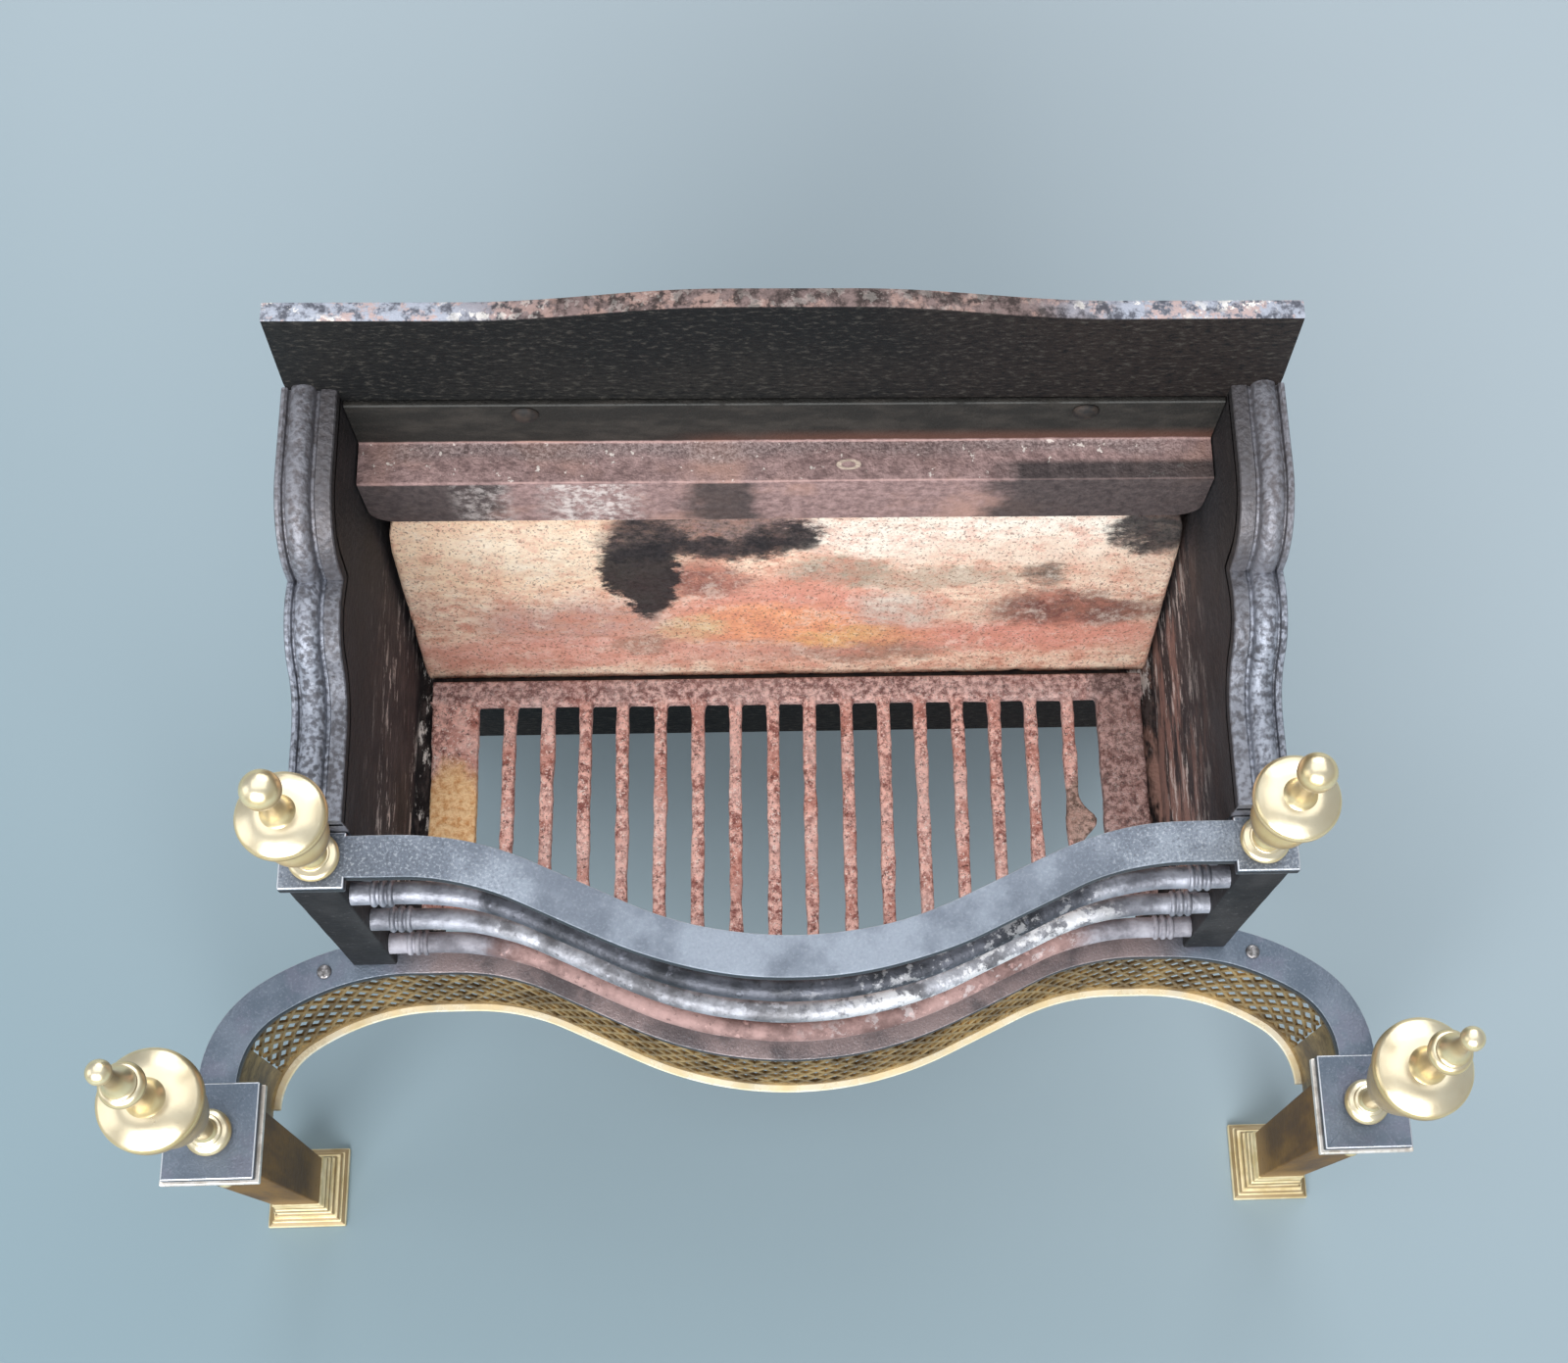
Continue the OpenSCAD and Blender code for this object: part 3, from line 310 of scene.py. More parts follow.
black_iron = Finish("sooted_black_iron")
sand = black_iron.place.stretched(0.5, 1, 1.8).grain(240, 5, 0.66)
drift = black_iron.grain(9, 4)
soot = drift.rise(0.35, 0.7).mix((0.008, 0.009, 0.010), (0.018, 0.017, 0.016))
browned = (black_iron.x + drift * 0.2 - 0.1).rise(-0.02, 0.16)
soot = (browned * 0.7).mix(soot, (0.026, 0.018, 0.016))
drag_marks = black_iron.place.stretched(0.5, 1, 1.1).grain(330, 4, 0.7)
soot = (drag_marks.rise(0.52, 0.68) * 0.75).mix(soot, (0.070, 0.064, 0.056))
soot = (drag_marks.rise(0.36, 0.48) * -1 + 1).mix(soot, (0.007, 0.007, 0.008))
top_face = black_iron.facing_up.rise(0.25, 0.8)
towards_end = (black_iron.x.size() + black_iron.grain(40, 3) * 0.06).rise(0.15, 0.21)
chips = black_iron.grain(150, 5, 0.7)
worn_brown = chips.rise(0.38, 0.62).mix((0.050, 0.036, 0.034), (0.225, 0.162, 0.154))
worn_bright = chips.rise(0.36, 0.56).mix((0.10, 0.105, 0.13), (0.42, 0.45, 0.53))
bare = towards_end.mix(worn_brown, worn_bright)
pink = black_iron.grain(46, 5, 0.7).rise(0.50, 0.56) * chips.rise(0.42, 0.52)
bare = (pink * (towards_end * 0.3 + 0.35)).mix(bare, (0.56, 0.36, 0.30))
white_chips = black_iron.grain(120, 4, 0.7).rise(0.535, 0.57) * black_iron.grain(22, 3).rise(0.42, 0.52)
bare = (white_chips * (towards_end * 0.85 + 0.12)).mix(bare, (0.98, 0.93, 0.86))
worn_off = top_face * black_iron.grain(45, 4).rise(0.25, 0.38)
black_iron.dress(worn_off.mix(soot, bare), 0.5 + sand * 0.3, 0.1, 0.22, sand + drag_marks * 0.6, 0.0013)

fireback = Stock()
fireback.plate(plate_outline, 0, rear_y - face_y, 0.8 * mm, lambda x, z, d: (x, rear_y - d, z))
fireback.piece("fireback", black_iron, "basket", "plate_iron", "back_plate")


# Shelf and its fixings: an iron angle bolted behind the grate to carry the firebrick. It is out of
# sight under the brick, with square-shouldered bolts and nuts through the fireback.
hidden_iron = Finish("dull_hidden_iron")
scale_marks = hidden_iron.grain(120, 5, 0.6)
dull_iron = scale_marks.rise(0.35, 0.7).mix((0.022, 0.021, 0.021), (0.075, 0.055, 0.045))
hidden_iron.dress(dull_iron, 0.55 + scale_marks * 0.25, 0.4, texture=scale_marks, depth=0.0006)

shelf_low, shelf_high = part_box("brick_shelf")
shelf_thick = 8 * mm
inner_y, inner_z = shelf_high.y - shelf_thick, shelf_high.z - shelf_thick
angle_iron = rounded([(shelf_low.y, inner_z), (inner_y, inner_z), (inner_y, shelf_low.z),
                      (shelf_high.y, shelf_low.z), (shelf_high.y, shelf_high.z),
                      (shelf_low.y, shelf_high.z)], 1.2 * mm)
shelf = Stock()
shelf.loft([[(x, p.x, p.y) for p in angle_iron] for x in (shelf_low.x, 0, shelf_high.x)])
shelf.piece("brick_shelf_angle", hidden_iron, "basket", "plate_iron", "brick_shelf")


def dome(radius, height, steps=8):
    """Profile of a low domed head, from its rim to its middle."""
    rim = [(0, 0), (radius - 0.6 * mm, 0), (radius, 0.6 * mm)]
    return rim + [(radius * math.cos(math.pi / 2 * k / steps), 0.6 * mm + (height - 0.6 * mm)
                   * math.sin(math.pi / 2 * k / steps)) for k in range(1, steps + 1)]


facing_front = Matrix.Rotation(math.pi / 2, 4, "X")
facing_back = Matrix.Rotation(-math.pi / 2, 4, "X")
shelf_bolt_low, shelf_bolt_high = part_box("shelf_bolts")
retainer_bolt_low, retainer_bolt_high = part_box("retainer_bolts")
head_radius, head_height, shank_radius = 7.5 * mm, 4 * mm, 4 * mm


def bolts(name, low, high, node):
    """Two domed bolts at the ends of a node's box, their shanks running back through the fireback."""
    made = Stock()
    reach = high.y - low.y - head_height
    shank = [(0, 0), (shank_radius, 0), (shank_radius, reach - 0.8 * mm), (shank_radius - 0.8 * mm, reach),
             (0, reach)]
    for x in (low.x + head_radius, high.x - head_radius):
        place = (x, low.y + head_height, (low.z + high.z) / 2)
        made.turn(dome(head_radius, head_height), place, 40, facing_front)
        made.turn(shank, place, 24, facing_back)
    made.piece(name, hidden_iron, "basket", "fixing_steel", node)


bolts("shelf_bolt_pair", shelf_bolt_low, shelf_bolt_high, "shelf_bolts")

nut_low, nut_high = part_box("rear_nuts")
nuts = Stock()
nut_places = [(low.x + head_radius if left else high.x - head_radius, (low.z + high.z) / 2)
              for low, high in ((shelf_bolt_low, shelf_bolt_high), (retainer_bolt_low, retainer_bolt_high))
              for left in (True, False)]
nut_radius = 7.4 * mm
hexagon = [Vector(corner) for corner in circle(nut_radius, 6)]
for x, z in nut_places:
    nuts.plate(rounded(hexagon, 1 * mm), 0, nut_high.y - nut_low.y, 0.7 * mm,
               lambda u, v, d, x=x, z=z: (x - u, nut_low.y + d, z + v))
nuts.piece("nuts_behind", hidden_iron, "basket", "fixing_steel", "rear_nuts")

screw_low, screw_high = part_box("cheek_screws")
screw_radius, screw_head, screw_shank = 6 * mm, 5 * mm, 3 * mm
screw_reach = screw_high.y - screw_low.y - screw_head
shank = [(0, 0), (screw_shank, 0), (screw_shank, screw_reach), (0, screw_reach)]
screws = Stock()
for x in (screw_low.x + screw_radius, screw_high.x - screw_radius):
    for z in (screw_low.z + screw_radius, screw_high.z - screw_radius):
        screws.turn(dome(screw_radius, screw_head), (x, screw_high.y - screw_head, z), 32, facing_back)
        screws.turn(shank, (x, screw_low.y, z), 20, facing_back)
screws.piece("cheek_screw_set", hidden_iron, "basket", "fixing_steel", "cheek_screws")


# Brick retainer: a Z-shaped iron casting bolted to the fireback, its lip hanging over the top of
# the firebrick. Its upper band is sooty, the step and lip are burnt to a mauve rust.
retainer_low, retainer_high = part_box("brick_retainer")
metal, step_z = 4 * mm, 0.524
burnt_iron = Finish("burnt_retainer_iron")
pit = burnt_iron.grain(420, 4, 0.65)
cloud = burnt_iron.grain(14, 4, 0.6)
grit = burnt_iron.grain(190, 5, 0.7)
lip_face = (burnt_iron.z * -1 + step_z).rise(1 * mm, 3 * mm)
top_face = burnt_iron.facing_up.rise(0.5, 0.8) * (1 - lip_face)
band = (burnt_iron.z + burnt_iron.grain(60, 3) * 0.002).rise(step_z + 1.5 * mm, step_z + 3.5 * mm)
ragged_x = burnt_iron.x + (burnt_iron.grain(33, 4) - 0.5) * 0.05
mauve = grit.rise(0.32, 0.70).mix((0.205, 0.130, 0.125), (0.46, 0.31, 0.295))
mauve = (cloud.rise(0.5, 0.66) * 0.7).mix(mauve, (0.52, 0.31, 0.25))
salt = burnt_iron.grain(560, 4, 0.75).rise(0.38, 0.62).mix((0.085, 0.062, 0.062), (0.46, 0.37, 0.36))
at_back = (burnt_iron.y + (cloud - 0.5) * 0.03).rise(face_y - 17 * mm, face_y - 9 * mm) * top_face
mauve = (at_back * ragged_x.size().rise(0.24, 0.20) * 0.65).mix(mauve, salt)
drips = burnt_iron.grain(150, 3, 0.7).rise(0.64, 0.68) * top_face
mauve = (drips * 0.8).mix(mauve, (0.88, 0.80, 0.74))
charcoal = grit.rise(0.3, 0.7).mix((0.026, 0.023, 0.025), (0.070, 0.060, 0.060))
sooty = (ragged_x * -1).rise(0.155, 0.172).larger(ragged_x.rise(0.105, 0.125))
sooty = sooty.larger(1 - ((ragged_x + 0.036) / 0.026).size().rise(0.5, 1.2))
low_soot = lip_face.larger((burnt_iron.y * -1 + face_y).rise(15 * mm, 20 * mm) * ragged_x.rise(0.11, 0.13))
mauve = (sooty * low_soot * 0.88).mix(mauve, charcoal)
ash = burnt_iron.grain(130, 6, 0.8).rise(0.44, 0.62)
ash_left = ((burnt_iron.x + 0.172) / 0.018).size().rise(1.2, 0.5) * 0.5
ash_place = ((burnt_iron.x + 0.112) / 0.030).size().rise(1.2, 0.4).larger(ash_left)
mauve = (ash * ash_place * lip_face * 0.9).mix(mauve, (0.80, 0.72, 0.69))
ring_x, ring_y = (burnt_iron.x - 0.0325) / (5.5 * mm), (burnt_iron.y - face_y + 19 * mm) / (2.6 * mm)
ring_mark = ((ring_x * ring_x + ring_y * ring_y) ** 0.5 - 1).size().rise(0.34, 0.16) * top_face
mauve = (ring_mark * 0.7).mix(mauve, (0.84, 0.70, 0.56))
band_smoke = burnt_iron.place.stretched(0.5, 1, 1).grain(90, 5).rise(0.4, 0.7)
band_colour = band_smoke.mix((0.015, 0.014, 0.012), (0.038, 0.033, 0.028))
warm_side = (burnt_iron.x + cloud * 0.2).rise(0.0, 0.12)
warm_foot = (burnt_iron.z * -1 + step_z).rise(-16 * mm, -3 * mm) * warm_side
band_colour = (warm_foot * 0.8).mix(band_colour, (0.12, 0.050, 0.034))
body_colour = band.mix(mauve, band_colour)
# Painted highlight: the rounded edges that face partly upwards are painted lighter, in patches.
retainer_edge_highlight = burnt_iron.facing_up.rise(0.25, 0.45) * (1 - burnt_iron.facing_up.rise(0.86, 0.97))
retainer_highlight_colour = band.mix((0.60, 0.385, 0.355), (0.12, 0.12, 0.115))
retainer_edge_highlight = retainer_edge_highlight * burnt_iron.grain(60, 4).rise(0.30, 0.46) * (1 - sooty * (1 - band) * 0.8)
burnt_iron.dress((retainer_edge_highlight * 0.55).mix(body_colour, retainer_highlight_colour), 0.62 + pit * 0.25, 0.1,
                 texture=pit + grit * 0.6, depth=0.0011)

lip_round = 14 * mm
retainer = Stock()
steps = 120
rings = []
for i in range(steps + 1):
    x = retainer_low.x + (retainer_high.x - retainer_low.x) * ease(i / steps)
    short = max(0, lip_round - min(x - retainer_low.x, retainer_high.x - x))
    lip_z = retainer_low.z + lip_round - math.sqrt(max(lip_round ** 2 - short ** 2, 0))
    wave = 0.5 * mm * noise.noise((x * 9, 0, 0))
    section = [(face_y, retainer_high.z), (face_y, step_z - metal), (retainer_low.y + metal, step_z - metal),
               (retainer_low.y + metal, lip_z), (retainer_low.y, lip_z), (retainer_low.y, step_z),
               (face_y - metal, step_z), (face_y - metal, retainer_high.z)]
    rings.append([(x, p.x, p.y + wave * (p.y < step_z)) for p in rounded(section, 1.6 * mm, 4)])
retainer.loft(rings)
retainer.piece("brick_retainer_casting", burnt_iron, "basket", "retainer_iron", "brick_retainer")
bolts("retainer_bolt_pair", retainer_bolt_low, retainer_bolt_high, "retainer_bolts")


# Firebrick: one moulded fireclay slab leaning back under the retainer's lip. It is coarse and
# pitted, chipped along its edges, and stained by soot, ash and iron oxide.
brick_low, brick_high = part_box("firebrick")
brick_thick = 18 * mm
lean = math.atan2(0.0333, 0.186)
brick_foot = Vector((0, brick_low.y, brick_low.z))
up_slope, into = Vector((0, math.sin(lean), math.cos(lean))), Vector((0, math.cos(lean), -math.sin(lean)))
slope_len = (brick_high.z - brick_low.z - 0.5 * mm) / math.cos(lean) - brick_thick * math.tan(lean) * 0.2
corner_wide, corner_tall, edge_soft = 20 * mm, 55 * mm, 3.5 * mm
brick = Stock()
rings = []
count_x, count_up, count_in = 210, 100, 10
for i in range(count_x + 1):
    x = brick_low.x + (brick_high.x - brick_low.x) * i / count_x
    from_end = min(x - brick_low.x, brick_high.x - x)
    corner = max(0, 1 - from_end / corner_wide) * (1 + 0.1 * noise.noise((x * 40, 3, 1)))
    drop = corner_tall * (1 - math.sqrt(max(1 - corner ** 2, 0)))
    top = slope_len - drop - 1.5 * mm - 1.2 * mm * noise.noise((x * 55, 7, 2))
    turned_in = max(1 - from_end / edge_soft, 0)
    inset = edge_soft * (1 - math.sqrt(max(1 - turned_in ** 2, 0)))
    outer = brick_thick - inset
    corners = rounded([(0, inset), (top - inset, inset), (top - inset, outer), (0, outer)], edge_soft, 3)
    ring = []
    for j, p in enumerate(corners):
        q = corners[(j + 1) % len(corners)]
        pieces = 1 if j % 4 < 3 else (count_up if j % 8 == 3 else count_in)
        ring += [p.lerp(q, k / pieces) for k in range(pieces)]
    row = []
    for p in ring:
        place = brick_foot + up_slope * p.x + into * p.y
        place.x = x
        grit = noise.fractal(place * 130, 1.0, 2.0, 4) * 0.45 * mm
        pits = max(0, noise.noise(place * 330) - 0.45) * 3.0 * mm
        crater = max(0, noise.noise(place * 70 + Vector((5, 5, 5))) - 0.42) * 6 * mm
        deep = (grit + pits + crater) * (1 if p.y < brick_thick * 0.5 else 0.2) + 0.6 * mm
        place += into * (deep if p.y < brick_thick * 0.5 else -deep)
        place.z = max(place.z, brick_low.z)
        row.append(place)
    rings.append(row)
brick.loft(rings)

fireclay = Finish("stained_fireclay")
ragged = fireclay.place.stretched(0.6, 1, 1.2).grain(120, 6, 0.8) - 0.5
warp_x = fireclay.x + (fireclay.grain(17, 4, 0.6) - 0.5) * 0.050 + ragged * 0.040
warp_z = fireclay.z + (fireclay.place.stretched(1, 1, 1.3).grain(21, 4, 0.6) - 0.5) * 0.036 + ragged * 0.030
streak = fireclay.place.stretched(0.72, 1, 1.3).grain(88, 7, 0.80)
fine = fireclay.grain(300, 5, 0.75)


def stain(under, x, z, wide, high, colour, amount=0.9, soft=0.7, patchy=0.5):
    """A ragged, streaky stain on the brick's face, centred at x and z."""
    far = ((warp_x - x) / wide) ** 2 + ((warp_z - z) / high) ** 2
    cover = (1 - far.rise(1 - soft, 1 + soft)) * (streak.rise(0.36, 0.58) * patchy + (1 - patchy))
    return (cover * amount).mix(under, colour)


clay = streak.rise(0.34, 0.64).mix((0.80, 0.46, 0.34), (1.0, 0.79, 0.61))
heat_stains = [
    # Cream, where the fire has bleached it.
    (-0.17, 0.435, 0.10, 0.048, (1.0, 0.76, 0.54), 0.95, 0.6, 0.3),
    (-0.145, 0.436, 0.055, 0.030, (1.0, 0.85, 0.66), 0.95, 0.6, 0.3),
    (0.115, 0.448, 0.13, 0.030, (1.0, 0.94, 0.83), 1.0, 0.5, 0.3),
    (0.15, 0.415, 0.10, 0.030, (0.90, 0.70, 0.55), 0.8),
    # Red, orange, ochre and ash in the middle.
    (0.0, 0.355, 0.08, 0.050, (0.76, 0.29, 0.22), 0.9),
    (-0.010, 0.348, 0.055, 0.024, (0.98, 0.45, 0.23), 0.95),
    (0.045, 0.335, 0.045, 0.014, (0.82, 0.50, 0.20), 0.85),
    (0.070, 0.368, 0.028, 0.022, (0.70, 0.62, 0.54), 0.9),
    # Iron stains from there to the right.
    (0.028, 0.410, 0.030, 0.013, (0.30, 0.29, 0.23), 0.8),
    (0.090, 0.402, 0.060, 0.010, (0.46, 0.38, 0.29), 0.7),
    (0.045, 0.315, 0.055, 0.011, (0.33, 0.17, 0.12), 0.9),
    (-0.030, 0.320, 0.070, 0.012, (0.66, 0.42, 0.34), 0.7),
    (0.15, 0.335, 0.090, 0.022, (0.74, 0.27, 0.21), 0.9),
    (0.18, 0.365, 0.055, 0.018, (0.17, 0.055, 0.045), 1.0, 0.8, 0.3),
    (0.155, 0.402, 0.013, 0.016, (0.080, 0.050, 0.038), 0.95, 0.9),
    # Mauve and brown at the left.
    (-0.135, 0.352, 0.060, 0.024, (0.50, 0.22, 0.21), 0.75, 0.8, 0.8),
    (-0.15, 0.318, 0.10, 0.018, (0.78, 0.35, 0.29), 0.8, 0.8),
    (-0.095, 0.325, 0.020, 0.012, (0.36, 0.21, 0.15), 0.8),
    (-0.065, 0.345, 0.022, 0.014, (0.78, 0.62, 0.36), 0.8),
    (-0.050, 0.403, 0.026, 0.019, (0.22, 0.060, 0.050), 0.95, 0.9),
]
for marks in heat_stains:
    clay = stain(clay, *marks)
mottle = fireclay.grain(48, 6, 0.8)
clay = (mottle.rise(0.50, 0.62) * 0.40).mix(clay, (0.80, 0.36, 0.27))
clay = ((1 - mottle.rise(0.38, 0.48)) * 0.35).mix(clay, (1.0, 0.90, 0.78))
clay = ((streak * fine).rise(0.24, 0.38) * 0.25).mix(clay, (1.0, 0.86, 0.74))
clay = ((1 - fine.rise(0.30, 0.44)) * 0.55).mix(clay, (0.36, 0.15, 0.11))
clay = (fireclay.grain(520, 3, 0.6).rise(0.57, 0.63) * 0.65).mix(clay, (0.22, 0.11, 0.08))
burnt_in = streak.rise(0.34, 0.60).mix((0.70, 0.44, 0.37), (1.0, 1.0, 1.0))
clay = clay.times(burnt_in, 0.40)
soot_shade = fine.rise(0.3, 0.7).mix((0.010, 0.010, 0.012), (0.038, 0.032, 0.035))
smoke_shade = fine.rise(0.35, 0.65).mix((0.050, 0.036, 0.038), (0.23, 0.15, 0.15))
soot_stains = [
    # Soot and smoke, last of all.
    (-0.050, 0.452, 0.062, 0.026, smoke_shade, 0.92, 0.35, 0.3),
    (-0.089, 0.400, 0.024, 0.040, soot_shade, 0.97, 0.25, 0.0),
    (-0.086, 0.445, 0.020, 0.026, soot_shade, 0.88, 0.4, 0.3),
    (-0.046, 0.434, 0.045, 0.011, soot_shade, 0.9, 0.5, 0.2),
    (-0.008, 0.444, 0.022, 0.016, soot_shade, 0.95, 0.4, 0.2),
    (0.222, 0.458, 0.032, 0.032, soot_shade, 0.97, 0.4, 0.1),
    (0.15, 0.479, 0.080, 0.007, smoke_shade, 0.8, 0.6, 0.6),
]
for marks in soot_stains:
    clay = stain(clay, *marks)
fireclay.dress(clay, 0.85, 0, 0.3, fine + streak * 0.6, 0.0014)
brick.piece("firebrick_slab", fireclay, "basket", "fired_clay", "firebrick", crease=60)


# Cheeks: the two iron side castings. Each has a plain wall, a ledge inside at the bottom, and a
# coping that runs down in scrolls, moulded with a pebbled bead between fillets.
cheek_low, cheek_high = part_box("right_cheek")
wall_x, wall_thick, ledge_reach, ledge_thick = 0.239, 12 * mm, 21 * mm, 12 * mm
rear_top, front_top = cheek_high.z, 0.510
scroll_r, knee_r, sweep_r, knee_turn = 48 * mm, 40 * mm, 30 * mm, 60
knee = Vector((106 * mm, 0.505))
coping_end, front_end, under_pad = 0.2145, 0.222, 0.4755


def oblong(left, right, low, high, soft, steps=3):
    """A rectangle with rounded corners."""
    return rounded([(left, low), (right, low), (right, high), (left, high)], soft, steps)


def arc(centre, radius, start, end, steps):
    """Points and outward normals along an arc, angles in degrees from the horizontal."""
    angles = [math.radians(start + (end - start) * k / steps) for k in range(steps + 1)]
    sign = 1 if radius > 0 else -1
    return [(Vector((centre[0] + radius * math.cos(a), centre[1] + radius * math.sin(a))),
             Vector((math.cos(a), math.sin(a))) * sign) for a in angles]


up = Vector((0, 1))
scroll_end, knee_start = 12, 105.4
sweep_turn = math.radians(knee_turn)
sweep_centre = knee + Vector((math.sin(sweep_turn), math.cos(sweep_turn))) * (knee_r + sweep_r)
coping_line = [(Vector((0.048 * k / 12, rear_top)), up) for k in range(12)]
coping_line += arc((scroll_r, rear_top - scroll_r), scroll_r, 90, scroll_end, 34)[:-1]
last, first = arc((0, 0), 1, scroll_end, scroll_end, 1)[0][1], arc((0, 0), 1, knee_start, knee_start, 1)[0][1]
cusp = knee + first * knee_r
coping_line.append((cusp, (last + first) / (1 + last.dot(first))))
coping_line += arc(knee, knee_r, knee_start, 90 - knee_turn, 30)[1:-1]
coping_line += [(p, -n) for p, n in arc(sweep_centre, sweep_r, 180 + 90 - knee_turn, 270, 16)]
level_run = coping_end - sweep_centre.x
coping_line += [(Vector((sweep_centre.x + level_run * k / 12, front_top)), up) for k in range(1, 13)]

bead_from, bead_to, bead_rise = 11 * mm, 23.6 * mm, 5 * mm
bead_steps = 12
moulding = [(0, -16 * mm), (0, -7.6 * mm), (0.8 * mm, -6.4 * mm), (4 * mm, -5.8 * mm), (8.2 * mm, -5.8 * mm),
            (9.2 * mm, -7.4 * mm), (10.6 * mm, -7.4 * mm)]
moulding += [(bead_from + (bead_to - bead_from) * (1 - math.cos(math.pi * k / bead_steps)) / 2,
              -bead_rise + bead_rise * math.sin(math.pi * k / bead_steps)) for k in range(bead_steps + 1)]
moulding += [(24.1 * mm, -6.6 * mm), (24.9 * mm, -6.4 * mm), (25.4 * mm, -4.0 * mm), (26.6 * mm, -3.1 * mm),
             (28.2 * mm, -3.4 * mm), (29 * mm, -5 * mm), (29 * mm, -14 * mm), (28 * mm, -16 * mm)]

graphite = Finish("graphite_cheek_iron")
pebble = graphite.grain(300, 3, 0.5)
dull = graphite.grain(26, 4, 0.6)
grey = dull.rise(0.3, 0.7).mix((0.135, 0.140, 0.164), (0.255, 0.270, 0.318))
# Painted highlight: the pebbles of the coping are painted pale blue-white where they face upwards.
pebble_highlight = pebble.rise(0.40, 0.60) * graphite.facing_up.rise(-0.1, 0.6)
grey = (pebble_highlight * 0.6).mix(grey, (0.58, 0.625, 0.73))
grey = ((1 - pebble.rise(0.30, 0.42)) * 0.6).mix(grey, (0.095, 0.092, 0.102))
dusty = (graphite.z + dull * 0.06).rise(0.555, 0.60) * 0.6
grey = dusty.mix(grey, (0.145, 0.125, 0.125))
fillet = 1 - graphite.x.size().rise(wall_x + 7.5 * mm, wall_x + 10 * mm)
fillet *= graphite.z.rise(0.49, 0.57) * 0.35 + 0.4
grey = fillet.mix(grey, (0.105, 0.096, 0.100))
inside_wall = 1 - graphite.x.size().rise(wall_x - 0.2 * mm, wall_x + 0.6 * mm)
drawn = graphite.place.stretched(1, 0.28, 1)
inner = graphite.grain(30, 5, 0.65).rise(0.34, 0.66).mix((0.014, 0.011, 0.012), (0.046, 0.037, 0.036))
brushed = drawn.grain(130, 5, 0.7)
inner = (brushed.rise(0.50, 0.66) * 0.8).mix(inner, (0.105, 0.080, 0.075))
low_down = (graphite.z * -1).rise(-0.50, -0.34)
tan_patch = drawn.grain(34, 5, 0.7).rise(0.49, 0.58) * low_down * graphite.x.rise(-0.1, 0.1)
inner = (tan_patch * 0.8).mix(inner, (0.40, 0.235, 0.19))
limed = drawn.grain(26, 3).rise(0.43, 0.55) * (low_down * 0.85 + 0.15)
lime = drawn.grain(120, 5, 0.78).rise(0.54, 0.61) * limed
inner = lime.mix(inner, (0.80, 0.74, 0.70))
inner = ((graphite.z + dull * 0.04).rise(0.40, 0.50) * 0.85).mix(inner, (0.005, 0.005, 0.005))
graphite.dress(inside_wall.mix(grey, inner), 0.38 + dull * 0.20 + inside_wall * 0.3,
               (1 - inside_wall) * 0.35, 0.25, pebble + brushed * inside_wall * 0.5, 0.0010)


def cheek(side, name, node):
    made = Stock()
    rings = []
    for p, n in coping_line:
        ring = []
        for u, h in moulding:
            pebbled = bead_from < u < bead_to
            dimple = 0.45 * mm * noise.noise((p.x * 190 + side * 9, p.y * 190, u * 190)) if pebbled else 0
            spot = p + n * (h + dimple)
            ring.append((side * (wall_x + u), face_y - spot.x, spot.y))
        rings.append(ring if side > 0 else ring[::-1])
    made.loft(rings)
    top_line = [p - n * 13 * mm for p, n in coping_line]
    wall = ([Vector((0, cheek_low.z)), Vector((front_end, cheek_low.z)), Vector((front_end, under_pad)),
             Vector((coping_end, under_pad))] + top_line[::-1])
    made.plate(wall, 0, wall_thick, 0.8 * mm,
               lambda u, z, d: (side * (wall_x + d), face_y - u, z))
    ledge = oblong(wall_x - ledge_reach, wall_x + 1 * mm, cheek_low.z, cheek_low.z + ledge_thick, 1.5 * mm)
    made.loft([[(side * p.x, face_y - u, p.y) for p in ledge] for u in (0, 0.11, front_end)])
    made.piece(name, graphite, "basket", "cheek_iron", node, crease=40)


cheek(-1, "cheek_left", "left_cheek")
cheek(1, "cheek_right", "right_cheek")


# Bottom grate: a loose iron casting of long bars that lifts out. It is burnt to a red-pink scale,
# and one bar on the right has started to melt.
grate_low, grate_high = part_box("bottom_grate")
pitch, bar_width, bar_count, rear_margin = 24 * mm, 8 * mm, 16, 16 * mm
bow_depth, bow_r, hollow_r, bow_turn = 59 * mm, 0.230, 0.163, math.radians(25)
bow_run = (bow_depth - (bow_r + hollow_r) * (1 - math.cos(bow_turn))) / math.sin(bow_turn)
bow_end_x = (bow_r + hollow_r) * math.sin(bow_turn) + bow_run * math.cos(bow_turn)


class Bow:
    """The serpentine plan line of a rail, from its middle to its right end; the left is its mirror."""

    def __init__(self, end_y, parts):
        bow = [(bow_r * bow_turn, 1 / bow_r), (bow_run, 0), (hollow_r * bow_turn, -1 / hollow_r)]
        self.parts = bow + parts
        self.middle_y = end_y - bow_depth
        self.length = sum(length for length, _ in self.parts)

    def at(self, s):
        """Place and heading at the distance s from the middle; the heading turns left as it grows."""
        x, y, heading, left = 0.0, self.middle_y, 0.0, abs(s)
        for length, bend in self.parts:
            step = min(left, length)
            if bend:
                turned = heading + step * bend
                x += (math.sin(turned) - math.sin(heading)) / bend
                y += (math.cos(heading) - math.cos(turned)) / bend
                heading = turned
            else:
                x, y = x + step * math.cos(heading), y + step * math.sin(heading)
            left -= step
        return (x, y, heading) if s >= 0 else (-x, y, -heading)

    def spot(self, s, forward, z):
        """A point at the distance s along the line, moved forward of it, at a height."""
        x, y, heading = self.at(s)
        return Vector((x + math.sin(heading) * forward, y - math.cos(heading) * forward, z))

    def stations(self, start, end, spacing):
        count = max(1, math.ceil((end - start) / spacing))
        return [start + (end - start) * k / count for k in range(count + 1)]


rail_w = 23 * mm
top_line_y = face_y - 0.2285
grate_bow = Bow(top_line_y, [(grate_high.x - bow_end_x, 0)])

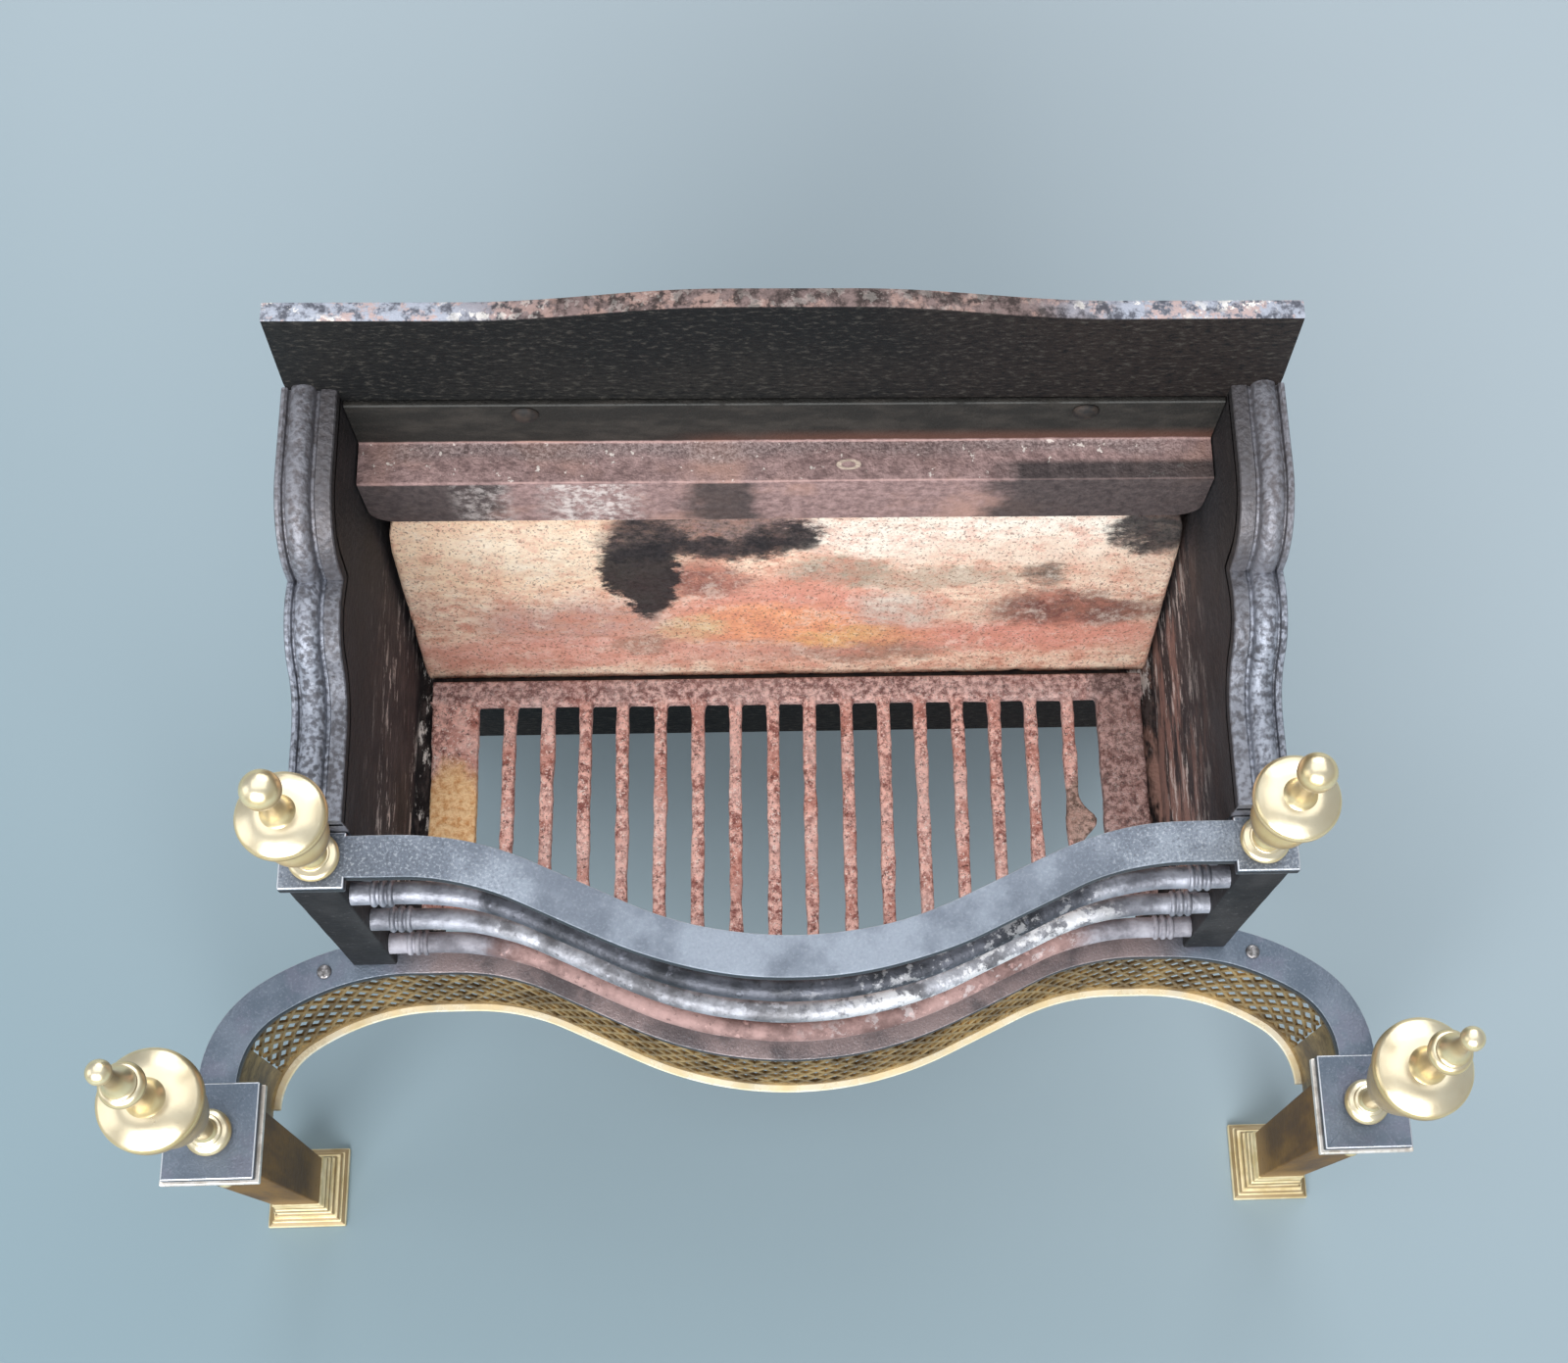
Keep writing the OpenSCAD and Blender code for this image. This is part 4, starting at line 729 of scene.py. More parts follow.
burnt_grate = Finish("burnt_grate_iron")
crust = burnt_grate.grain(230, 5, 0.75)
blush = burnt_grate.grain(28, 4, 0.6)
rust = crust.rise(0.37, 0.60).mix((0.26, 0.085, 0.070), (0.95, 0.57, 0.49))
rust = (blush.rise(0.46, 0.62) * 0.5).mix(rust, (0.90, 0.60, 0.54))
rust = (burnt_grate.grain(40, 4).rise(0.52, 0.64) * 0.5).mix(rust, (0.52, 0.185, 0.135))
rust = (burnt_grate.grain(430, 3, 0.7).rise(0.57, 0.66) * 0.8).mix(rust, (0.060, 0.030, 0.026))
rust = (burnt_grate.grain(520, 2, 0.7).rise(0.58, 0.66) * 0.8).mix(rust, (0.96, 0.80, 0.74))
towards_front = (burnt_grate.y * -1 + blush * 0.06).rise(0.0, 0.11)
rust = (towards_front * 0.30).mix(rust, (0.16, 0.060, 0.050))
margin = (burnt_grate.y + blush * 0.01).rise(0.098, 0.108)
rust = (margin * 0.6).mix(rust, crust.rise(0.4, 0.65).mix((0.15, 0.095, 0.095), (0.72, 0.56, 0.54)))
yellow_x, yellow_y = (burnt_grate.x + 0.213) / 0.022, (burnt_grate.y - 0.022 + (blush - 0.5) * 0.05) / 0.040
right_dark = (burnt_grate.x + blush * 0.01).rise(0.196, 0.204)
rust = (right_dark * 0.7).mix(rust, crust.rise(0.4, 0.65).mix((0.085, 0.060, 0.058), (0.36, 0.26, 0.25)))
melt_x, melt_y = (burnt_grate.x - 0.184) / 0.010, (burnt_grate.y - 0.018) / 0.026
melted = 1 - (melt_x * melt_x + melt_y * melt_y + (blush - 0.5) * 2).rise(0.6, 1.3)
rust = (melted * 0.75).mix(rust, crust.rise(0.36, 0.62).mix((0.075, 0.066, 0.048), (0.42, 0.30, 0.25)))
yellow = 1 - (yellow_x * yellow_x + yellow_y * yellow_y).rise(0.5, 1.3)
rust = (yellow * 0.92).mix(rust, crust.rise(0.34, 0.6).mix((0.72, 0.34, 0.12), (0.97, 0.68, 0.36)))
burnt_grate.dress(rust, 0.85, texture=crust, depth=0.0018)

blob_y, blob_long = 14 * mm, 9 * mm
grate = Stock()


def grate_bar(x, width, start_y, end_y, burnt=0):
    """One cast bar from the rear margin to the front one, slightly uneven along its length."""
    rings = []
    count = 44
    for k in range(count + 1):
        y = start_y + (end_y - start_y) * k / count
        uneven = noise.noise((x * 60, y * 45, 0)) * 0.9 * mm + noise.noise((x * 60, y * 160, 4)) * 0.5 * mm
        flare = 2.4 * mm * max(0, 1 - abs(y - start_y) / (5 * mm)) ** 2
        blob = burnt * math.exp(-((y - blob_y) / blob_long) ** 2)
        lean_x = noise.noise((x * 31, y * 17, 9)) * 0.7 * mm + blob * 0.55
        half = width / 2 + uneven + flare + blob * 0.6
        ring = []
        for p in oblong(-half, half, grate_low.z, grate_high.z, 2.2 * mm):
            pitted = noise.noise((x * 60 + p.x * 90, y * 120, p.y * 90)) * 0.4 * mm
            ring.append((x + lean_x + p.x, y, p.y + pitted * (p.y > grate_low.z + 2 * mm)))
        rings.append(ring)
    grate.loft(rings)


slot_rear = grate_high.y - rear_margin
for i in range(bar_count):
    x = (i - (bar_count - 1) / 2) * pitch
    front = min(grate_bow.spot(s, -rail_w / 2 - 14 * mm, 0).y for s in (abs(x), abs(x) + 4 * mm))
    grate_bar(x, bar_width, slot_rear + 2 * mm, front, 9 * mm if i == bar_count - 1 else 0)
side_from, side_to = bar_count / 2 * pitch + 8 * mm, grate_high.x - 1 * mm
side_front = grate_bow.spot(side_from, -rail_w / 2 - 8 * mm, 0).y
for side in (-1, 1):
    grate_bar(side * (side_from + side_to) / 2, side_to - side_from, slot_rear + 2 * mm, side_front)
span = 2 * (grate_high.x - 0.5 * mm)
rings = []
for k in range(61):
    ring = []
    for p in oblong(slot_rear, grate_high.y, grate_low.z, grate_high.z, 2 * mm):
        uneven = noise.noise((k * 0.31, p.x * 90, 2)) * 0.7 * mm * (p.x < slot_rear + 4 * mm)
        ring.append((-span / 2 + span * k / 60, p.x + uneven, p.y))
    rings.append(ring)
grate.loft(rings)
front_bar = oblong(-rail_w / 2 - 16 * mm, -rail_w / 2 - 3.2 * mm, grate_low.z, grate_high.z, 2 * mm)
grate.loft([[grate_bow.spot(s, p.x, p.y) for p in front_bar]
            for s in grate_bow.stations(-grate_bow.length, grate_bow.length, 6 * mm)])
grate.piece("loose_bottom_grate", burnt_grate, "grate", "burnt_iron", "bottom_grate", crease=50)


# Top rail: a flat steel strap bent into a bow, with a square pad at each end over the stile. Wrought,
# its upper face mottled blue and purple by heat; its rounded edges carry a painted highlight and its
# upright side faces are painted dark as shade.
blued_steel = Finish("heat_mottled_rail_steel")
cloud = blued_steel.grain(24, 5, 0.6)
salt = blued_steel.grain(640, 3, 0.7)
on_top_rail = blued_steel.z.rise(0.40, 0.45)
steel = cloud.rise(0.36, 0.62).mix((0.130, 0.165, 0.215), (0.205, 0.245, 0.305))
steel = (blued_steel.grain(40, 4).rise(0.5, 0.64) * 0.5).mix(steel, (0.21, 0.215, 0.285))
bright_colour = cloud.rise(0.36, 0.62).mix((0.185, 0.215, 0.265), (0.33, 0.375, 0.445))
steel = on_top_rail.mix(steel, bright_colour)
far_out = blued_steel.x.size()
in_the_bow = 1 - (far_out + cloud * 0.05).rise(0.245, 0.285)
browned = cloud.rise(0.4, 0.6).mix((0.155, 0.120, 0.115), (0.36, 0.265, 0.250))
steel = (in_the_bow * (1 - on_top_rail) * 0.85).mix(steel, browned)
grainy = (far_out + cloud * 0.1 - 0.05).rise(0.12, 0.20) * on_top_rail
steel = (salt.rise(0.54, 0.64) * (grainy * 0.36 + 0.10)).mix(steel, (0.66, 0.70, 0.77))
steel = ((1 - salt.rise(0.36, 0.46)) * (grainy * 0.40 + 0.10)).mix(steel, (0.10, 0.105, 0.125))
# Painted highlight: the chamfers along the strap's upper edges are painted near white.
rail_edge_highlight = blued_steel.facing_up.rise(0.25, 0.45) * (1 - blued_steel.facing_up.rise(0.90, 0.98))
steel = (rail_edge_highlight * 0.9).mix(steel, (0.92, 0.95, 1.0))
# Painted shade: the upright side faces of the straps are painted near black.
rail_side_shade = 1 - blued_steel.facing_up.size().rise(0.10, 0.25)
steel = (rail_side_shade * 0.9).mix(steel, (0.022, 0.023, 0.027))
blued_steel.dress(steel, 0.32 + cloud * 0.16, 0.65, texture=salt + cloud, depth=0.0004)

top_low, top_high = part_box("top_rail")
pad_in, pad_out = 0.240, 0.275
top_bow = Bow(top_line_y, [(pad_in - bow_end_x + 1 * mm, 0)])
left_low, left_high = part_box("left_stile")
stile_in, stile_rear, stile_front = -left_high.x, left_high.y, left_low.y
rail_top, rail_under = top_high.z, top_low.z
pad_rear, pad_front = stile_rear + 7 * mm, stile_front - 2 * mm


def strap(path, start, end, rear, front, low, high, soft, spacing=5 * mm, wear=0.0):
    """Rings of a flat strap along a path, between two offsets and two levels, for a loft."""
    section = oblong(rear, front, low, high, soft, 2)
    middle = (rear + front) / 2
    rings = []
    for s in path.stations(start, end, spacing):
        shift = wear * noise.noise((s * 24, high * 50, 3))
        rings.append([path.spot(s, p.x + shift * (1 if p.x > middle else -1), p.y) for p in section])
    return rings


top_rail = Stock()
top_rail.loft(strap(top_bow, -top_bow.length, top_bow.length, -rail_w / 2, rail_w / 2, rail_under, rail_top,
                    0.9 * mm, wear=0.5 * mm))
for side in (-1, 1):
    step = top_line_y - rail_w / 2
    outline = rounded([(pad_in, pad_rear), (pad_in, step), (pad_in, pad_front), (pad_out, pad_front),
                       (pad_out, pad_rear)], 1.0 * mm)
    outline = [Vector((side * p.x, p.y)) for p in outline]
    top_rail.plate(outline if side > 0 else outline[::-1], rail_under, rail_top, 0.9 * mm)
top_rail.piece("bowed_top_rail", blued_steel, "basket", "rail_steel", "top_rail")


# Stiles: two upright iron bars that stand on the lower rail and carry the pads and the round bars.
# Plain forged stock, matt charcoal.
stile_finish = Finish("matt_stile_iron")
forge = stile_finish.grain(90, 5, 0.6)
worn = stile_finish.place.stretched(1, 1, 0.35).grain(38, 4)
charred = worn.rise(0.35, 0.7).mix((0.016, 0.016, 0.018), (0.040, 0.039, 0.041))
charred = (stile_finish.grain(320, 3).rise(0.62, 0.72) * 0.35).mix(charred, (0.16, 0.155, 0.16))
stile_finish.dress(charred, 0.55 + forge * 0.25, 0.1, 0.25, forge, 0.0009)
stile_low, stile_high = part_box("right_stile")


def stile(side, name, node):
    made = Stock()
    section = oblong(stile_low.x, stile_high.x, stile_low.y, stile_high.y, 1.4 * mm)
    ends = [(1.0 * mm, 0), (0, 1.0 * mm)]
    count = 30
    levels = [(d, stile_low.z + h) for d, h in ends]
    levels += [(0, stile_low.z + (stile_high.z - stile_low.z) * k / count) for k in range(1, count)]
    levels += [(d, stile_high.z - h) for d, h in reversed(ends)]
    middle = Vector(((stile_low.x + stile_high.x) / 2, (stile_low.y + stile_high.y) / 2))
    rings = []
    for d, z in levels:
        ring = []
        for p in section:
            away = (p - middle).normalized()
            spot = p - away * (d + 0.25 * mm + 0.25 * mm * noise.noise((p.x * 50, p.y * 50, z * 40)))
            ring.append((side * spot.x, spot.y, z))
        rings.append(ring if side > 0 else ring[::-1])
    made.loft(rings)
    made.piece(name, stile_finish, "basket", "stile_iron", node)


stile(-1, "stile_left", "left_stile")
stile(1, "stile_right", "right_stile")


# Round front bars: three steel rods bent to the bow of the rails, with three turned rings at each
# end and a tenon into the stiles. The upper one is dark, the middle one bright, the low one rusty.
bar_r, ring_r, ring_start, ring_wide, ring_gap = 6.5 * mm, 7.75 * mm, 11 * mm, 3.2 * mm, 1.5 * mm
tenon_r, tenon_len = 4 * mm, 10 * mm
bar_bow = Bow(face_y - 0.237, [(stile_in - bow_end_x + tenon_len, 0)])
bar_shades = {"lower_round_bar": ("rusty_pink_bar", (0.17, 0.100, 0.092), (0.45, 0.29, 0.27), 0.60, 0.2),
              "middle_round_bar": ("bright_worn_bar", (0.15, 0.15, 0.165), (0.50, 0.51, 0.56), 0.46, 0.55),
              "upper_round_bar": ("dark_blued_bar", (0.035, 0.038, 0.046), (0.13, 0.137, 0.165), 0.40, 0.6)}


def bar_radius(s):
    """Radius at a distance along a bar: plain, then the rings, then the tenon."""
    from_shoulder = bar_bow.length - tenon_len - abs(s)
    if from_shoulder < 0:
        return tenon_r
    for i in range(3):
        across = (from_shoulder - ring_start - i * (ring_wide + ring_gap)) / ring_wide
        if 0 <= across <= 1:
            return bar_r + (ring_r - bar_r) * math.sin(math.pi * across) ** 0.5
    return bar_r


for node, (name, dark, light, rough, metal) in bar_shades.items():
    finish = Finish(name)
    patch = finish.grain(34, 5, 0.65)
    pit = finish.grain(240, 4, 0.6)
    tint = patch.rise(0.35, 0.65).mix(dark, light)
    tint = (pit.rise(0.6, 0.7) * 0.6).mix(tint, tuple(0.5 * c for c in dark))
    tint = (finish.grain(150, 4).rise(0.60, 0.70) * 0.6).mix(tint, tuple(min(1, 1.5 * c) for c in light))
    near_end = (finish.x.size() + patch * 0.06 - 0.03).rise(0.165, 0.19)
    tint = (near_end * 0.85).mix(tint, patch.rise(0.35, 0.65).mix((0.17, 0.175, 0.205), (0.46, 0.475, 0.54)))
    flecked = (0.44, 0.53) if node == "middle_round_bar" else (0.55, 0.60)
    worn_flecks = finish.grain(80, 5, 0.7).rise(*flecked) * finish.x.rise(-0.03, 0.07) * (1 - near_end)
    tint = (worn_flecks * (0.8 if node == "middle_round_bar" else 0.3)).mix(tint, (0.90, 0.90, 0.92))
    finish.dress(tint, rough + pit * 0.2, metal, texture=pit + patch, depth=0.0007)
    bar_low, bar_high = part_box(node)
    level = (bar_low.z + bar_high.z) / 2
    end = bar_bow.length
    shoulder = end - tenon_len
    fine = [shoulder - ring_start - 3 * ring_wide - 2 * ring_gap - 2 * mm + k * 0.4 * mm for k in range(66)]
    half = sorted(set(bar_bow.stations(0, fine[0], 5 * mm) + [s for s in fine if s < shoulder]
                      + [shoulder, shoulder + 0.01 * mm, end - 0.6 * mm, end]))
    rings = []
    for s in [-s for s in reversed(half)] + half[1:]:
        r = bar_radius(s) - (0.6 * mm if abs(s) == end else 0)
        r -= 0.3 * mm * (0.5 + noise.noise((s * 40, level * 70, 1))) if r == bar_r else 0
        rings.append([bar_bow.spot(s, u, level + v) for u, v in circle(r, 20)])
    bar = Stock()
    bar.loft(rings)
    bar.piece(name, finish, "basket", "bar_steel", node)


# Lower rail: the same strap as above, but each end sweeps forward in a wing to a square pad on the
# leg. One piece of steel, mottled like the top rail.
low_rail_low, low_rail_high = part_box("lower_rail")
cap_low, cap_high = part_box("right_leg_cap")
leg_x, leg_y = (cap_low.x + cap_high.x) / 2, (cap_low.y + cap_high.y) / 2
cap_half = (cap_high.x - cap_low.x) / 2
low_line_y, wing_start, wing_r = face_y - 0.238, 0.235, 60 * mm
wing_end = Vector((leg_x - 1.7 * mm, cap_high.y + 0.3 * mm))
wing_run, wing_drop = wing_end.x - wing_start, low_line_y - wing_end.y
wing_big_r = (wing_run ** 2 + wing_drop ** 2 - 2 * wing_run * wing_r) / (2 * (wing_drop - wing_r))
wing_turn = math.atan2(wing_run - wing_r, wing_big_r - wing_drop)
low_bow = Bow(low_line_y, [(wing_start - bow_end_x, 0), (wing_big_r * wing_turn, -1 / wing_big_r),
                           (wing_r * (math.pi / 2 - wing_turn), -1 / wing_r)])
rail_base, rail_level = low_rail_low.z, low_rail_high.z

lower_rail = Stock()
lower_rail.loft(strap(low_bow, -low_bow.length, low_bow.length, -rail_w / 2, rail_w / 2,
                      rail_base, rail_level, 0.9 * mm, wear=0.5 * mm))
pad_half, pad_tail = cap_half - 2 * mm, 2.6 * mm
for side in (-1, 1):
    left, front = side * leg_x - pad_half, leg_y - pad_half
    pad = oblong(left, left + 2 * pad_half, front, front + 2 * pad_half + pad_tail, 1.0 * mm)
    lower_rail.plate(pad, rail_base, rail_level, 0.9 * mm)
lower_rail.piece("winged_lower_rail", blued_steel, "basket", "rail_steel", "lower_rail")


# Fret: a strip of brass under the lower rail, pierced through with a lattice of tall diamonds and
# left solid at its ends. Cut from sheet, aged golden brown.
fret_brass = Finish("aged_fret_brass")
tarnish = fret_brass.grain(40, 5, 0.6)
old = tarnish.rise(0.32, 0.68).mix((0.145, 0.085, 0.032), (0.54, 0.365, 0.155))
spots = fret_brass.grain(240, 4, 0.6)
old = (spots.rise(0.55, 0.70) * 0.6).mix(old, (0.115, 0.072, 0.034))
old = fret_brass.z.rise(0.266, 0.278).mix(old, (0.060, 0.040, 0.026))
fret_brass.dress(old, 0.36 + tarnish * 0.22, 0.6, texture=spots, depth=0.0003)

fret_front = rail_w / 2 - 1.5 * mm
fret_rear = fret_front - 2.5 * mm
bead_r, bead_low = 3.2 * mm, 0.174
bead_level = bead_low + bead_r
fret_low, fret_high = bead_level + 0.8 * bead_r, rail_base - 0.05 * mm
border, end_margin, strap_wide = 7 * mm, 28 * mm, 2.3 * mm
diamond_wide, diamond_tall = 12.5 * mm, 23 * mm
lattice_low, lattice_high, lattice_end = fret_low + border, fret_high - border, low_bow.length - end_margin

fret = Stock()
for low, high in ((fret_low, lattice_low), (lattice_high, fret_high)):
    fret.loft(strap(low_bow, -low_bow.length, low_bow.length, fret_rear, fret_front, low, high, 0.35 * mm))
for side in (-1, 1):
    start, end = sorted((side * lattice_end, side * low_bow.length))
    fret.loft(strap(low_bow, start, end, fret_rear + 0.05 * mm, fret_front - 0.05 * mm, lattice_low - 1 * mm,
                    lattice_high + 1 * mm, 0.3 * mm))
slant = diamond_wide / diamond_tall * (lattice_high - lattice_low)
half_wide = strap_wide / math.sin(math.atan2(slant, lattice_high - lattice_low)) / 2
for family, (rear, front) in ((1, (fret_rear + 0.25 * mm, fret_front - 0.2 * mm)),
                              (-1, (fret_rear + 0.2 * mm, fret_front - 0.3 * mm))):
    section = [(rear, -half_wide), (front - 0.3 * mm, -half_wide), (front, 0.5 * mm - half_wide),
               (front, half_wide - 0.5 * mm), (front - 0.3 * mm, half_wide), (rear, half_wide)]
    reach = math.ceil((lattice_end + slant) / diamond_wide)
    for i in range(-reach, reach + 1):
        foot_s = i * diamond_wide - family * slant / 2
        rings = []
        for k in range(13):
            t = k / 12
            s = foot_s + family * slant * t
            if abs(s) > lattice_end + 0.5 * mm:
                continue
            z = lattice_low - 0.4 * mm + (lattice_high - lattice_low + 0.8 * mm) * t
            rings.append([low_bow.spot(s - family * across * 0.6, offset, z + across * 0.25)
                          for offset, across in section])
        if len(rings) > 1:
            fret.loft(rings)
leg_half_top, leg_half_foot = 21 * mm, 16 * mm
leg_face = leg_y + leg_half_top
at_leg = wing_end.x - fret_front
end_section = oblong(at_leg + 0.1 * mm, at_leg + 2.4 * mm, fret_low, cap_low.z - 0.3 * mm, 0.3 * mm)
for side in (-1, 1):
    fret.loft([[(side * p.x, y, p.y) for p in end_section]
               for y in (leg_face + 0.4 * mm, wing_end.y + 1 * mm)])
fret.piece("pierced_fret", fret_brass, "basket", "fret_brass", "fret_panel")


# Bead under the fret: a drawn brass rod with a flat back, run along the fret's lower edge and kept
# bright by polishing.
bright_bead = Finish("rubbed_bead_brass")
rub = bright_bead.grain(60, 4, 0.6)
bead_gold = rub.rise(0.3, 0.7).mix((0.96, 0.82, 0.52), (1.0, 0.95, 0.78))
bright_bead.dress(bead_gold, 0.22 + rub * 0.1, 0.12)

bead = Stock()
bead_line = fret_front + 1 * mm
bead_section = [(bead_r * math.cos(a), bead_r * math.sin(a)) for a in
                (math.radians(-90 + 360 * k / 20) for k in range(20)) if math.sin(a) <= 0.8]
bead.loft([[low_bow.spot(s, bead_line + d, bead_level + h) for d, h in bead_section]
           for s in low_bow.stations(-low_bow.length, low_bow.length, 5 * mm)])
bead.piece("fret_bead_moulding", bright_bead, "basket", "polished_brass", "fret_bead")


# Brackets and rivets: small brass angles behind the fret, held up under the wings of the rail by
# one round-headed steel rivet each.
rivet_steel = Finish("bright_rivet_steel")
rivet_mark = rivet_steel.grain(400, 4, 0.6)
rivet_grey = rivet_mark.rise(0.35, 0.65).mix((0.16, 0.15, 0.15), (0.42, 0.41, 0.42))
rivet_steel.dress(rivet_grey, 0.35, 0.9, texture=rivet_mark, depth=0.0003)
rivet_s = low_bow.length - wing_r * (math.pi / 2 - wing_turn) - wing_big_r * (wing_turn - math.radians(20))
bracket_thick, bracket_tall, bracket_half = 2.5 * mm, 20 * mm, 6.9 * mm
behind = fret_rear - 0.2 * mm
brackets, rivets = Stock(), Stock()
for side in (-1, 1):
    ends = sorted((side * (rivet_s - bracket_half), side * (rivet_s + bracket_half)))
    for rear, front, low in ((-rail_w / 2 + 2 * mm, behind, rail_base - bracket_thick),
                             (behind - bracket_thick, behind - 0.05 * mm, rail_base - bracket_tall)):
        brackets.loft(strap(low_bow, ends[0], ends[1], rear, front, low, rail_base, 0.4 * mm, 3 * mm))
    centre = low_bow.spot(side * rivet_s, 0, rail_level)
    rivets.turn(dome(4.5 * mm, 2.2 * mm), centre, 32)
    rivets.turn(dome(4.5 * mm, 2.2 * mm), low_bow.spot(side * rivet_s, 0, rail_base - bracket_thick), 32,
                Matrix.Rotation(math.pi, 4, "X"))
brackets.piece("fret_bracket_pair", fret_brass, "basket", "fixing_steel", "fret_brackets")
rivets.piece("rail_rivet_pair", rivet_steel, "basket", "fixing_steel", "fret_rivets")


# Legs: square brass tapers under thin cap plates, each standing on a moulded foot. Cast hollow; the
# legs have gone brown, the feet are still bright along their edges.
leg_brass = Finish("leg_brass")
streak = leg_brass.place.stretched(1, 1, 0.25).grain(46, 4, 0.6)
leg_gold = streak.rise(0.35, 0.70).mix((0.096, 0.046, 0.010), (0.22, 0.118, 0.028))
leg_gold = (leg_brass.z * -1).rise(-0.10, -0.04).mix(leg_gold, (0.34, 0.20, 0.08))
speckles = leg_brass.grain(190, 4)
leg_gold = (speckles.rise(0.58, 0.72) * 0.5).mix(leg_gold, (0.055, 0.030, 0.012))
leg_brass.dress(leg_gold, 0.30 + streak * 0.16, 0.05, 0.03, speckles, 0.00025)

pale_brass = Finish("pale_cap_brass")
cap_mark = pale_brass.grain(120, 4, 0.6)
pale_brass.dress(cap_mark.rise(0.35, 0.65).mix((0.60, 0.54, 0.47), (0.92, 0.88, 0.82)), 0.28, 0.5)

foot_brass = Finish("moulded_foot_brass")
foot_rub = foot_brass.grain(70, 4, 0.6)
foot_gold = foot_rub.rise(0.3, 0.7).mix((0.68, 0.54, 0.27), (0.92, 0.80, 0.52))
tread_from, tread_step = 5.7 * mm, 5.1 * mm
treads = (foot_brass.z - tread_from) / tread_step
# Painted shade: a dark band is painted at the top of each step of the foot, just under the tread above.
step_line_shade = treads.maths("FRACT", treads, 0).rise(0.80, 0.90)
foot_gold = (step_line_shade * 0.8).mix(foot_gold, (0.17, 0.105, 0.040))
foot_brass.dress(foot_gold, 0.36 + foot_rub * 0.12, 0.35)

foot_low, foot_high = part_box("right_foot")
foot_half, foot_top = (foot_high.x - foot_low.x) / 2, foot_high.z
foot_wide = foot_half / mm
foot_steps = [(foot_wide - 0.8, 0), (foot_wide, 0.8), (foot_wide, 4.2), (foot_wide - 0.6, 5)]
for half, low in ((23.6, 5.9), (20.6, 11.0), (18.0, 16.1)):
    foot_steps += [(half, low), (half, low + 4.2), (half - 0.6, low + 4.8)]


def rounded_step(half, low, high, reach, count=6):
    """A rounded moulding of the foot, in millimetres."""
    return [(half + reach * math.sin(math.pi * k / count), low + (high - low) * k / count)
            for k in range(count + 1)]


foot_steps += rounded_step(17, 21.6, 27.2, 2.6, 8)
for low, high, reach in ((28.4, 31.4, 1.6), (32.2, 34.4, 1.2), (35.2, 37.4, 1.0), (38.2, 40.4, 0.8),
                         (41.2, 44.4, 0.9)):
    foot_steps += rounded_step(16.2, low, high, reach)
foot_profile = [(half * mm, z * mm) for half, z in foot_steps] + [(15.6 * mm, foot_top)]


def square_stack(side, profile, corner):
    """Rings of a square turning about a leg's axis, for a loft."""
    rings = []
    for half, z in profile:
        square = oblong(-half, half, -half, half, corner)
        rings.append([(side * leg_x + p.x, leg_y + p.y, z) for p in square])
    return rings


leg_flare, leg_rise = leg_half_top - leg_half_foot, cap_low.z - foot_top
leg_profile = [(leg_half_foot + leg_flare * k / 12, foot_top + leg_rise * k / 12) for k in range(13)]
for side, hand in ((-1, "left"), (1, "right")):
    cap = Stock()
    middle = side * leg_x
    outline = oblong(middle - cap_half, middle + cap_half, leg_y - cap_half, leg_y + cap_half, 0.8 * mm)
    cap.plate(outline, cap_low.z, cap_high.z, 0.7 * mm)
    cap.piece(f"leg_cap_{hand}", pale_brass, "basket", "polished_brass", f"{hand}_leg_cap")
    leg = Stock()
    leg.loft(square_stack(side, leg_profile, 1.3 * mm))
    leg.piece(f"tapered_leg_{hand}", leg_brass, "basket", "polished_brass", f"{hand}_leg")
    foot = Stock()
    foot.loft(square_stack(side, foot_profile, 0.9 * mm))
    foot.piece(f"moulded_foot_{hand}", foot_brass, "basket", "polished_brass", f"{hand}_foot")


# Rosettes: a small fluted brass boss on the front of each leg, pinned through its middle. It leans
# back with the leg's taper, and is polished like the finials.
polished = Finish("polished_brass")
smear = polished.grain(30, 4, 0.6)
lacquer = polished.grain(170, 4, 0.65)
gold = smear.rise(0.35, 0.70).mix((0.86, 0.67, 0.34), (0.97, 0.84, 0.53))
gold = (lacquer.rise(0.60, 0.74) * 0.30).mix(gold, (0.42, 0.29, 0.11))
# Painted highlight: the faces that look upwards are painted a pale cream.
gold = (polished.facing_up.rise(0.60, 0.95) * 0.55).mix(gold, (1.0, 0.93, 0.76))
shaded = 1 - polished.facing_up.rise(0.0, 0.50)
gold = (shaded * 0.82).mix(gold, smear.rise(0.3, 0.7).mix((0.120, 0.072, 0.028), (0.27, 0.175, 0.072)))
polished.dress(gold, 0.24 + smear * 0.12, 0.85 - shaded * 0.75, 0.2, lacquer, 0.00012)

